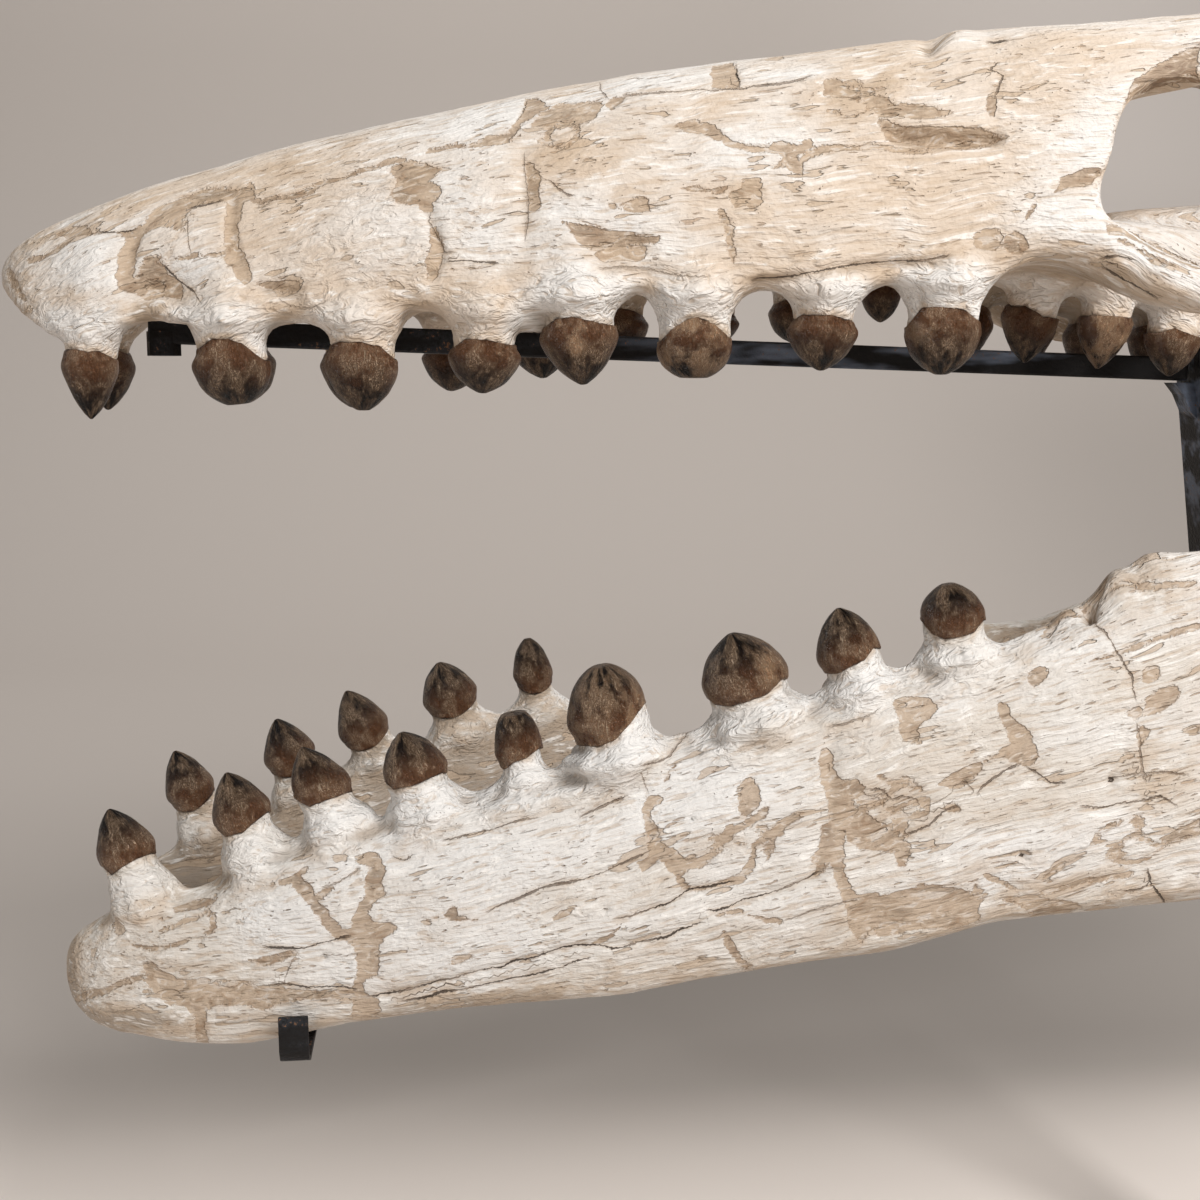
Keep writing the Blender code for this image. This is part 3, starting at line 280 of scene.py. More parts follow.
JAW_PATCHES = [
    (0.1, [(140, 966), (152, 962), (158, 973), (178, 979), (198, 981), (216, 985), (242, 987), (264, 987),
           (282, 989), (304, 991), (332, 993), (354, 993), (356, 1001), (330, 999), (300, 1001),
           (278, 1006), (262, 1010), (242, 1005), (222, 1005), (207, 1010), (206, 1026), (208, 1046),
           (199, 1044), (195, 1030), (194, 1014), (186, 1006), (170, 1004), (158, 996), (148, 986)]),
    (0.6, [(153, 915), (160, 911), (168, 914), (166, 921), (156, 921)]),
    (0.4, [(168, 907), (186, 899), (206, 898), (218, 896), (208, 906), (190, 911), (176, 913)]),
    (0.15, [(366, 851), (380, 857), (385, 870), (382, 884), (386, 896), (376, 902), (369, 912),
            (375, 921), (390, 923), (397, 930), (386, 937), (379, 943), (378, 960), (377, 976),
            (363, 981), (365, 994), (378, 1000), (381, 1018), (353, 1018), (354, 1002), (351, 990),
            (356, 980), (357, 960), (353, 946), (342, 941), (330, 937), (336, 929), (352, 930),
            (354, 916), (358, 904), (366, 896), (364, 880), (371, 868), (356, 862)]),
    (0.25, [(248, 960), (262, 957), (290, 951), (301, 954), (284, 960), (262, 965)]),
    (0.4, [(392, 823), (410, 820), (428, 822), (442, 819), (454, 812), (470, 806), (486, 799), (494, 801),
           (478, 812), (460, 824), (440, 829), (422, 830), (406, 832)]),
    (0.35, [(509, 801), (526, 796), (542, 790), (541, 799), (524, 806), (514, 811)]),
    (0.35, [(442, 916), (448, 907), (457, 905), (459, 914), (472, 918), (485, 914), (478, 921),
            (458, 922)]),
    (0.3, [(589, 945), (604, 936), (622, 926), (612, 937), (600, 944)]),
    (0.3, [(553, 918), (560, 912), (574, 909), (566, 916)]),
    (0.25, [(448, 962), (456, 956), (478, 952), (470, 959), (456, 964)]),
    (0.15, [(640, 789), (650, 796), (661, 796), (663, 802), (652, 806), (650, 818), (658, 826),
            (661, 837), (652, 841), (645, 836), (646, 822), (643, 808), (647, 798)]),
    (0.15, [(646, 843), (657, 838), (665, 846), (678, 850), (686, 859), (696, 856), (709, 858),
            (704, 867), (690, 868), (682, 876), (688, 886), (706, 886), (726, 880), (741, 877),
            (749, 862), (752, 848), (757, 840), (763, 835), (780, 820), (802, 811), (811, 814),
            (800, 823), (786, 829), (784, 835), (766, 841), (758, 851), (752, 873), (738, 885),
            (702, 891), (683, 892), (672, 873), (660, 859), (641, 871), (637, 862), (650, 857)]),
    (0.2, [(737, 790), (744, 780), (752, 777), (759, 788), (761, 806), (750, 817), (741, 816)]),
    (0.2, [(708, 836), (726, 830), (742, 822), (758, 812), (772, 803), (766, 818), (746, 827),
           (730, 833)]),
    (0.1, [(824, 744), (832, 752), (833, 770), (843, 784), (851, 800), (848, 812), (843, 826), (843, 850),
           (845, 876), (855, 896), (861, 912), (871, 930), (860, 945), (849, 930), (845, 906), (839, 890),
           (832, 867), (827, 860), (826, 873), (811, 881), (818, 868), (811, 860), (820, 852), (822, 836),
           (829, 822), (827, 800), (821, 780), (819, 760)]),
    (0.5, [(821, 826), (836, 821), (839, 841), (832, 851), (821, 847)]),
    (0.4, [(840, 782), (856, 779), (866, 786), (861, 797), (848, 801)]),
    (0.35, [(842, 796), (853, 806), (870, 816), (888, 826), (898, 836), (910, 845), (908, 866),
            (898, 868), (894, 854), (872, 851), (860, 848), (846, 840)]),
    (0.25, [(854, 896), (878, 893), (886, 901), (884, 912), (893, 920), (902, 924), (902, 935),
            (880, 937), (869, 930), (861, 914)]),
    (0.5, [(721, 929), (729, 936), (735, 946), (742, 958), (754, 965), (744, 969), (733, 956),
           (725, 944)]),
    (0.12, [(879, 704), (890, 693), (904, 690), (918, 694), (931, 696), (940, 704), (934, 715),
            (924, 722), (918, 730), (922, 743), (905, 742), (897, 730), (900, 718), (889, 712)]),
    (0.25, [(916, 676), (930, 672), (944, 672), (958, 664), (972, 659), (962, 669), (948, 677),
            (939, 685), (924, 685)]),
    (0.15, [(997, 700), (1007, 704), (1012, 716), (1021, 724), (1031, 730), (1035, 744), (1042, 756),
            (1034, 768), (1020, 764), (1005, 759), (1000, 751), (1012, 744), (1008, 732), (1001, 720)]),
    (0.4, [(943, 808), (952, 803), (963, 808), (956, 813)]),
    (0.15, [(959, 771), (974, 762), (986, 764), (977, 777), (962, 787), (949, 789), (939, 784),
            (950, 776)]),
    (0.2, [(1143, 669), (1156, 667), (1161, 676), (1150, 685), (1141, 680)]),
    (0.35, [(1143, 700), (1160, 690), (1177, 685), (1182, 696), (1172, 704), (1160, 713), (1147, 715)]),
    (0.6, [(1127, 712), (1138, 705), (1143, 714), (1134, 721)]),
    (0.2, [(1137, 724), (1151, 730), (1148, 737), (1142, 751), (1138, 744)]),
    (0.35, [(1186, 728), (1200, 725), (1200, 735), (1188, 735)]),
    (0.3, [(1160, 840), (1180, 828), (1200, 820), (1200, 836), (1180, 843), (1164, 847)]),
    (0.1, [(860, 900), (900, 892), (932, 884), (962, 889), (973, 900), (982, 921), (950, 929), (918, 929),
           (888, 937)]),
    (0.1, [(1000, 900), (1030, 896), (1062, 900), (1082, 906), (1060, 917), (1038, 919), (1018, 906)]),
    (0.2, [(1050, 612), (1062, 610), (1078, 616), (1060, 624), (1048, 640), (1042, 634)]),
    (0.3, [(1082, 600), (1098, 590), (1112, 578), (1110, 592), (1100, 604), (1092, 614)]),
    (0.2, [(1026, 676), (1036, 668), (1050, 670), (1046, 680), (1036, 688), (1030, 684)]),
]
JAW_RELIEF = [
    (92, 975, 26, 36, 0, 0.8), (150, 975, 44, 20, -4, -1.0), (168, 935, 44, 12, 14, 0.7),
    (290, 915, 80, 36, 16, 0.7), (470, 880, 90, 44, 18, 0.7), (730, 800, 50, 40, 16, 0.8),
    (828, 790, 10, 90, -8, -1.0), (880, 830, 44, 30, 0, -1.0), (870, 920, 22, 22, 0, -0.8),
    (960, 830, 60, 26, 18, 0.7), (1090, 700, 70, 40, 18, 0.8), (1110, 830, 50, 22, 16, 0.8),
    (1160, 575, 34, 18, 20, 0.8), (1088, 613, 9, 9, 0, -2.4), (600, 985, 130, 22, 10, 0.6),
    (128, 890, 30, 26, 0, 0.8), (240, 850, 22, 22, 0, 0.6), (610, 755, 40, 24, 10, 0.8),
]
JAW_GROOVES = [
    (5.0, -0.9, [(376, 996), (450, 982), (525, 960), (582, 945), (637, 943), (690, 926)]),
    (5.0, -1.0, [(700, 910), (737, 905), (807, 881), (838, 868)]),
    (5.0, -0.7, [(632, 916), (687, 893), (741, 881)]),
    (5.0, -0.7, [(133, 946), (176, 943), (210, 932)]),
    (7.0, -0.9, [(200, 890), (262, 860), (330, 842), (385, 826), (455, 800), (520, 790), (600, 778)]),
]
JAW_WASHES = [
    (96, 925, 26, 26, 30, 0.9), (150, 900, 60, 12, 20, 0.5), (200, 985, 70, 20, -2, 0.8),
    (430, 800, 30, 10, 16, 0.8), (560, 775, 50, 9, 14, 0.6), (300, 845, 40, 10, 8, 0.7),
    (760, 740, 50, 16, 10, 0.5), (880, 810, 46, 44, 0, 0.7), (870, 915, 40, 34, 0, 0.6),
    (960, 870, 60, 14, 12, 0.6), (1050, 890, 60, 12, 10, 0.6), (1150, 590, 40, 20, 20, 0.7),
    (1010, 820, 60, 14, 14, 0.5), (1180, 660, 60, 10, 26, 0.6), (1060, 610, 26, 10, 24, 0.6),
    (80, 1000, 26, 24, -20, 0.7), (250, 965, 30, 6, 4, 0.7), (720, 840, 40, 16, 10, 0.5),
    (250, 930, 70, 24, 14, -0.7), (600, 930, 160, 26, 16, -0.6), (700, 790, 60, 30, 16, -0.6),
    (1100, 720, 60, 40, 16, -0.7), (500, 860, 80, 30, 18, -0.5), (990, 840, 60, 16, 14, -0.5),
    # painted shade: the washes at (135, 1018) and (480, 1000) darken the jaw's lower edge where it turns
    # under
    (135, 1018, 60, 12, 0, 1.6), (74, 966, 8, 44, 0, 1.4), (1150, 770, 60, 50, 10, 0.6),
    (480, 1000, 120, 12, 8, 0.8), (960, 700, 40, 16, 20, -0.7), (590, 1000, 120, 10, 8, -0.4),
    (1150, 830, 50, 16, 14, -0.7),
]
# Brown painted shade on the inside of the right lower jaw, seen between the left teeth, and one paler
# place
FAR_SHADE_WASHES = [
    (192, 884, 50, 24, 0, 2.4), (200, 856, 30, 18, 0, 1.2), (300, 830, 44, 26, 0, 1.8),
    (376, 800, 24, 36, 0, 2.0), (468, 772, 34, 34, 0, 1.6), (556, 752, 20, 24, 0, 1.4),
    (350, 750, 20, 20, 0, -0.5),
]
# Nets of small plates: middle, half sizes and tilt as above, and size of a plate in millimetres
SKULL_NETS = [
    (168, 226, 34, 18, 20, 9.0), (855, 98, 40, 22, 14, 8.0), (556, 130, 30, 24, 0, 8.0),
    (1172, 74, 34, 20, 20, 4.0),
]
JAW_NETS = [
    (893, 806, 44, 40, 0, 7.0), (216, 992, 90, 16, -2, 7.0), (740, 848, 46, 32, 16, 8.0),
    (930, 900, 70, 22, 8, 9.0), (1130, 840, 50, 30, 10, 9.0),
]
# Pushes that mend the bone's outline: place and radius in the picture, and how far right and down
JAW_PUSHES = [
    (1118, 590, 20, -3, -13), (1146, 566, 20, 0, -7), (1062, 616, 13, 0, -5), (1087, 615, 7, 2, 7),
]
SKULL_PUSHES = [
    (180, 338, 13, 6, -11), (134, 341, 11, -7, -6), (930, 42, 14, 0, 5), (956, 34, 22, 0, -3),
]
# Routes narrower than this many pixels are drawn as open cracks
THIN = 1.9
# Small holes in the left lower jaw: place in the picture and radius in pixels
JAW_HOLES = [
    (597, 855, 2.2), (605, 911, 1.9), (1022, 857, 3.6), (1111, 780, 3.0), (700, 960, 1.6),
    (200, 943, 2.0), (323, 958, 1.8), (692, 817, 1.2), (638, 989, 1.2), (347, 965, 1.4),
]


# Numbers that vary from place to place

def lattice(cells, seed):
    """A repeatable value from -1 to 1 at each whole-numbered point."""
    mixed = (cells[:, 0] * 73856093) ^ (cells[:, 1] * 19349663) ^ (cells[:, 2] * 83492791)
    mixed = (mixed ^ (seed * 2654435)) & 0x7FFFFFFF
    mixed = (mixed ^ (mixed >> 15)) * 668265263 & 0x7FFFFFFF
    mixed = (mixed ^ (mixed >> 13)) * 374761393 & 0x7FFFFFFF
    return mixed / 0x3FFFFFFF - 1


def octave(points, seed):
    cells = np.floor(points)
    part = points - cells
    part = part * part * (3 - 2 * part)
    cells = cells.astype(np.int64)
    total = np.zeros(len(points))
    for corner in range(8):
        step = np.array([corner & 1, corner >> 1 & 1, corner >> 2 & 1])
        weight = np.prod(np.where(step, part, 1 - part), axis=1)
        total += weight * lattice(cells + step, seed)
    return total


def noise(points, size, seed, octaves=3, stretch=(1, 1, 1)):
    """Smooth noise of about -1 to 1 whose lumps are size metres across."""
    where = points / (size * np.array(stretch))
    total = np.zeros(len(points))
    weight = 1.0
    for step in range(octaves):
        total += weight * octave(where, seed + step)
        where = where * 2.03 + 7.1
        weight *= 0.5
    return total / (2 - 2 * weight)


def plate_edges(points, size, seed):
    """Distance in metres to the edges of a random net of plates about size across."""
    stretch = np.array((1.7, 1.0, 1.0))
    where = points / (size * stretch)
    cells = np.floor(where).astype(np.int64)
    nearest = np.full(len(points), 9.0)
    second = np.full(len(points), 9.0)
    for step in np.ndindex(3, 3, 3):
        cell = cells + np.array(step) - 1
        jitter = np.stack([lattice(cell, seed + axis) for axis in range(3)], axis=1)
        distance = np.linalg.norm(cell + 0.5 + 0.45 * jitter - where, axis=1)
        second = np.minimum(second, np.maximum(distance, nearest))
        nearest = np.minimum(nearest, distance)
    return (second - nearest) * size / 2


def ramp(value, low, high):
    """0 at low, 1 at high, smooth between."""
    share = np.clip((value - low) / (high - low), 0, 1)
    return share * share * (3 - 2 * share)


def smooth_curve(points, count):
    """Points spread along a smooth curve through the given ones."""
    points = np.asarray(points, float)
    padded = np.vstack([2 * points[0] - points[1], points, 2 * points[-1] - points[-2]])
    where = np.linspace(0, len(points) - 1 - 1e-9, count)
    i = where.astype(int)
    t = (where - i)[:, None]
    a, b, c, d = padded[i], padded[i + 1], padded[i + 2], padded[i + 3]
    return 0.5 * (2 * b + (c - a) * t + (2 * a - 5 * b + 4 * c - d) * t ** 2
                  + (3 * b - a - 3 * c + d) * t ** 3)


# Looking through the camera

def camera_turn():
    yaw = Matrix.Rotation(radians(CAMERA_YAW), 3, "Z")
    return yaw @ Matrix.Rotation(radians(90 + CAMERA_PITCH), 3, "X")


class Sight:
    """Where points of the model are in the picture, and how squarely they face the camera."""

    def __init__(self, points, normals):
        turn = np.array(camera_turn())
        self.right, self.up, back = turn[:, 0], turn[:, 1], turn[:, 2]
        away = points - np.array(place(*CAMERA_PLACE))
        depth = -(away @ back)
        self.u = PICTURE / 2 + FOCAL_PIXELS * (away @ self.right) / depth
        self.v = PICTURE / 2 - FOCAL_PIXELS * (away @ self.up) / depth
        self.metres = depth / FOCAL_PIXELS
        distance = np.linalg.norm(away, axis=1)
        self.facing = -np.sum(normals * away, axis=1) / distance

    def route(self, points):
        """Signed distance in pixels to a route, and the pixels from there to its nearer end."""
        best = np.full(len(self.u), 1e6)
        signed = best.copy()
        along = np.zeros(len(self.u))
        start = 0.0
        for (x0, y0), (x1, y1) in zip(points, points[1:]):
            dx, dy = x1 - x0, y1 - y0
            length = np.hypot(dx, dy)
            share = ((self.u - x0) * dx + (self.v - y0) * dy) / length ** 2
            share = np.clip(share, 0, 1)
            off = self.u - x0 - share * dx, self.v - y0 - share * dy
            distance = np.hypot(*off)
            closer = distance < best
            best = np.where(closer, distance, best)
            side = np.where(off[0] * dy - off[1] * dx < 0, -1.0, 1.0)
            signed = np.where(closer, side * distance, signed)
            along = np.where(closer, start + share * length, along)
            start += length
        return signed, np.minimum(along, start - along)

    def blob(self, x, y, half_width, half_height, tilt):
        """1 in the middle of an oval of the picture, 0 well outside it."""
        c, s = cos(radians(tilt)), sin(radians(tilt))
        along = (self.u - x) * c - (self.v - y) * s
        across = (self.u - x) * s + (self.v - y) * c
        return np.exp(-1.2 * ((along / half_width) ** 2 + (across / half_height) ** 2))


def outline_of(sight, points):
    """Signed distance in pixels to a closed outline, below 0 inside it."""
    corners = np.array(points)
    low, high = corners.min(axis=0) - 14, corners.max(axis=0) + 14
    close = (sight.u > low[0]) & (sight.u < high[0]) & (sight.v > low[1]) & (sight.v < high[1])
    u, v = sight.u[close], sight.v[close]
    nearest = np.full(len(u), 99.0)
    inside = np.zeros(len(u), bool)
    for (x0, y0), (x1, y1) in zip(points, points[1:] + points[:1]):
        dx, dy = x1 - x0, y1 - y0
        share = np.clip(((u - x0) * dx + (v - y0) * dy) / (dx * dx + dy * dy), 0, 1)
        nearest = np.minimum(nearest, np.hypot(u - x0 - share * dx, v - y0 - share * dy))
        if dy:
            inside ^= ((y0 > v) != (y1 > v)) & (u < x0 + (v - y0) * dx / dy)
    distance = np.full(len(sight.u), 99.0)
    distance[close] = np.where(inside, -nearest, nearest)
    return distance


# Meshes

def link(name, mesh):
    item = bpy.data.objects.new(name, mesh)
    bpy.context.scene.collection.objects.link(item)
    return item


def baked(item):
    """Replaces an object's mesh by what its modifiers make of it."""
    bpy.context.view_layer.update()
    graph = bpy.context.evaluated_depsgraph_get()
    mesh = bpy.data.meshes.new_from_object(item.evaluated_get(graph))
    item.modifiers.clear()
    item.data = mesh
    return item


def dense_bone(name, nodes, voxel):
    """One even skin over some of the frame's nodes."""
    work = bmesh.new()
    for node in nodes:
        work.from_mesh(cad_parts[node].data)
    bmesh.ops.remove_doubles(work, verts=work.verts, dist=1e-6)
    mesh = bpy.data.meshes.new(name)
    work.to_mesh(mesh)
    work.free()
    item = link(name, mesh)
    skin = item.modifiers.new("skin", "REMESH")
    skin.mode = "VOXEL"
    skin.voxel_size = voxel
    return baked(item)


class Neighbours:
    """Averages over the vertices that share an edge with each vertex."""

    def __init__(self, mesh):
        ends = np.empty(len(mesh.edges) * 2, int)
        mesh.edges.foreach_get("vertices", ends)
        ends = ends.reshape(-1, 2)
        self.here = np.concatenate([ends[:, 0], ends[:, 1]])
        self.there = np.concatenate([ends[:, 1], ends[:, 0]])
        self.count = np.maximum(np.bincount(self.here, minlength=len(mesh.vertices)), 1)

    def average(self, values):
        total = np.bincount(self.here, weights=values[self.there], minlength=len(self.count))
        return total / self.count

    def average_points(self, points):
        return np.stack([self.average(points[:, axis]) for axis in range(3)], axis=1)


def smooth_mesh(mesh, rounds, strength):
    """Evens out the flat faces and corners of a mesh, more where the strength is more."""
    points = arrays(mesh)[0]
    nearby = Neighbours(mesh)
    for _ in range(rounds):
        points += (strength(points) * 0.6)[:, None] * (nearby.average_points(points) - points)
    mesh.vertices.foreach_set("co", points.ravel())
    mesh.update()


def arrays(mesh):
    count = len(mesh.vertices)
    points = np.empty(count * 3)
    normals = np.empty(count * 3)
    mesh.vertices.foreach_get("co", points)
    mesh.vertex_normals.foreach_get("vector", normals)
    return points.reshape(-1, 3), normals.reshape(-1, 3)


def refine(item, wanted):
    """Splits the faces whose middles the test asks for into four."""
    work = bmesh.new()
    work.from_mesh(item.data)
    work.faces.ensure_lookup_table()
    centres = np.array([face.calc_center_median() for face in work.faces])
    normals = np.array([face.normal for face in work.faces])
    chosen = np.nonzero(wanted(centres, normals))[0]
    edges = {edge for i in chosen for edge in work.faces[i].edges}
    bmesh.ops.subdivide_edges(work, edges=list(edges), cuts=1, use_grid_fill=True)
    work.to_mesh(item.data)
    work.free()


def give(mesh, name, values):
    """Stores a number or a vector at each vertex, for the materials."""
    vector = values.ndim == 2
    layer = mesh.attributes.new(name, "FLOAT_VECTOR" if vector else "FLOAT", "POINT")
    layer.data.foreach_set("vector" if vector else "value", values.astype(np.float32).ravel())


def finish_piece(item, body, slot, material, *nodes):
    item.data.materials.clear()
    item.data.materials.append(material)
    item.data.shade_smooth()
    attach(item, body)
    if nodes:
        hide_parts(*nodes)


# Crowns as the frame has them

# Crowns whose tips are worn flat: share of the height that is left
WORN_TIPS = {
    "crown_upper_left_2": 0.95, "crown_upper_left_3": 0.96, "crown_upper_left_6": 0.94,
    "crown_lower_left_5": 0.85, "crown_lower_left_6": 0.96, "crown_lower_left_9": 0.96,
    "crown_lower_right_5": 0.97,
}
ROUND_TIP = 0.985       # and of the others, which are only rounded off
# How tan the cloudy places of the palest crowns are, from 0 (brown) to 1, and of the others
PALE_CROWNS = {"crown_palate_left_2": 0.9, "crown_upper_left_6": 0.6, "crown_lower_left_6": 0.5}
USUAL_TONE = 0.25
# Paler and chipped places on the left crowns: middle, half sizes and tilt in the picture, and strength
CROWN_CHIPS = [
    (575, 345, 8, 8, 0, 2.2), (660, 360, 8, 14, 10, 1.8), (690, 326, 26, 7, 0, 1.2),
    (560, 325, 24, 6, 0, 0.8), (920, 325, 16, 16, 0, 0.8), (770, 668, 12, 24, 20, 0.8),
    (640, 712, 14, 20, 30, 1.0), (880, 640, 8, 14, 30, 0.7),
]
# Crowns with straighter sides: how far from the frame's round profile to a cone
CONE_CROWNS = {
    "crown_lower_left_5": 0.02, "crown_upper_left_1": 0.15, "crown_upper_left_5": 0.12,
    "crown_lower_left_7": -0.06, "crown_lower_left_8": 0.0, "crown_lower_left_9": -0.04,
}
CROWN_COLUMNS = 96
CROWN_ROWS = 54
ARCH = 0.0024           # how far an unseen crown's lower edge dips on its outer and inner side
# Lower edges of the left crowns in the picture, where the enamel ends on the root
CROWN_EDGES = {
    "crown_upper_left_1": [(61, 351), (72, 349), (87, 352), (99, 351), (118, 360)],
    "crown_upper_left_2": [(190, 352), (210, 339), (228, 339), (243, 343), (267, 360)],
    "crown_upper_left_3": [(324, 347), (336, 342), (360, 342), (381, 346), (398, 360)],
    "crown_upper_left_4": [(448, 349), (463, 339), (488, 340), (505, 344), (522, 346)],
    "crown_upper_left_5": [(536, 331), (554, 319), (572, 317), (593, 321), (622, 326)],
    "crown_upper_left_6": [(656, 342), (669, 330), (687, 319), (698, 317), (716, 324), (733, 338)],
    "crown_upper_left_7": [(788, 322), (800, 315), (832, 315), (858, 322)],
    "crown_upper_left_8": [(903, 327), (920, 308), (943, 306), (967, 310), (984, 322)],
    "crown_palate_left_1": [(1000, 303), (1012, 306), (1024, 306), (1036, 311), (1044, 317), (1060, 319)],
    "crown_palate_left_2": [(1076, 316), (1093, 315), (1115, 316), (1134, 318)],
    "crown_palate_left_3": [(1140, 333), (1157, 333), (1174, 328), (1200, 337)],
    "crown_lower_left_1": [(101, 868), (110, 876), (121, 868), (136, 860), (155, 852)],
    "crown_lower_left_2": [(205, 824), (213, 829), (224, 838), (243, 833), (270, 811)],
    "crown_lower_left_3": [(290, 796), (297, 803), (308, 808), (327, 801), (352, 791)],
    "crown_lower_left_4": [(376, 774), (380, 781), (392, 791), (415, 786), (446, 772)],
    "crown_lower_left_5": [(493, 762), (502, 770), (512, 764), (528, 758), (541, 748)],
    "crown_lower_left_6": [(565, 734), (573, 746), (598, 748), (616, 740), (632, 724), (649, 702)],
    "crown_lower_left_7": [(702, 698), (712, 706), (728, 708), (744, 704), (770, 694), (786, 678)],
    "crown_lower_left_8": [(812, 662), (822, 674), (836, 675), (850, 668), (866, 660), (876, 648)],
    "crown_lower_left_9": [(918, 620), (930, 635), (944, 640), (960, 638), (976, 633), (986, 620)],
}
# How much the enamel draws in towards its lower edge, and over what share of its height
TUCK, TUCK_SHARE = 0.10, 0.30
PROFILE_STEP = 0.0004   # corners of the frame's crown this close in height are one ring


class Crown:
    """Axis, base and profile of one of the frame's crowns."""

    def __init__(self, node):
        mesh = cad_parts[node].data
        groups = {}
        for face in mesh.polygons:
            key = tuple(round(c, 1) for c in face.normal)
            groups.setdefault(key, []).append(face)
        base = max(groups.values(), key=lambda faces: sum(face.area for face in faces))
        area = sum(face.area for face in base)
        self.node = node
        self.axis = -sum((face.normal * face.area for face in base), Vector()).normalized()
        self.base = sum((face.center * face.area for face in base), Vector()) / area
        self.first = Vector((0, 1, 0)).cross(self.axis).normalized()
        self.second = self.axis.cross(self.first)
        points = np.array([vertex.co for vertex in mesh.vertices]) - np.array(self.base)
        heights = points @ np.array(self.axis)
        radii = np.linalg.norm(points - np.outer(heights, self.axis), axis=1)
        self.length = heights.max()
        self.radius = radii.max()
        self.top = WORN_TIPS.get(node, ROUND_TIP) * self.length
        rows = {}
        for height, radius in zip(heights, radii):
            key = round(height / PROFILE_STEP)
            rows[key] = max(rows.get(key, (0, 0)), (radius, height))
        cone = CONE_CROWNS.get(node, 0.10 if "lower" in node else 0.0)
        profile = []
        for key in sorted(rows):
            radius, height = rows[key]
            profile.append((radius * (1 - cone * max(0, height / self.length) ** 0.7), height))
        curve = smooth_curve(profile, 90)
        order = np.argsort(curve[:, 1])
        self.heights, self.radii = curve[order, 1], np.maximum(curve[order, 0], 0.0001)
        self.angles = np.linspace(0, 2 * pi, CROWN_COLUMNS, endpoint=False)
        self.edges = self.find_edges()

    def radius_at(self, heights):
        return np.interp(heights, self.heights, self.radii)

    def skin_radius(self, heights, edge):
        """Radius of the enamel, which draws in towards its lower edge."""
        share = np.clip((heights - edge) / (TUCK_SHARE * self.length), 0, 1)
        return self.radius_at(heights) * (1 - TUCK * (1 - share) ** 2)

    def ring(self, angles):
        return np.outer(np.cos(angles), self.first) + np.outer(np.sin(angles), self.second)

    def find_edges(self):
        """Height of the enamel's lower edge at each of the crown's angles."""
        arched = -ARCH * np.sin(self.angles) ** 2
        seen = CROWN_EDGES.get(self.node)
        if not seen:
            return arched
        heights = np.linspace(-0.0035, 0.55 * self.length, 90)
        ring = self.ring(self.angles)
        wanted = np.full(len(self.angles), np.nan)
        across, down = np.array(seen, float).T
        for i, out in enumerate(ring):
            points = np.array(self.base) + np.outer(heights, self.axis)
            points = points + np.outer(self.radius_at(heights), out)
            sight = Sight(points, np.tile(out, (len(points), 1)))
            gap = np.abs(sight.v - np.interp(sight.u, across, down))
            best = gap.argmin()
            if sight.facing[best] > 0.04 and gap[best] < 1.5:
                wanted[i] = heights[best]
        known = ~np.isnan(wanted)
        if known.sum() < 8:
            return arched
        return np.interp(self.angles, self.angles[known], wanted[known], period=2 * pi)

    def place_of(self, points):
        """Height above the base, distance from the axis, and the enamel edge's height at that angle."""
        away = points - np.array(self.base)
        height = away @ np.array(self.axis)
        off = away - np.outer(height, self.axis)
        angle = np.arctan2(off @ np.array(self.second), off @ np.array(self.first))
        edge = np.interp(angle, self.angles, self.edges, period=2 * pi)
        return height, np.linalg.norm(off, axis=1), edge


CROWNS = {name: Crown(name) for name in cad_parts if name.startswith("crown_")}


def crowns_of(*families):
    return [crown for name, crown in CROWNS.items() if name.startswith(families)]


# Materials

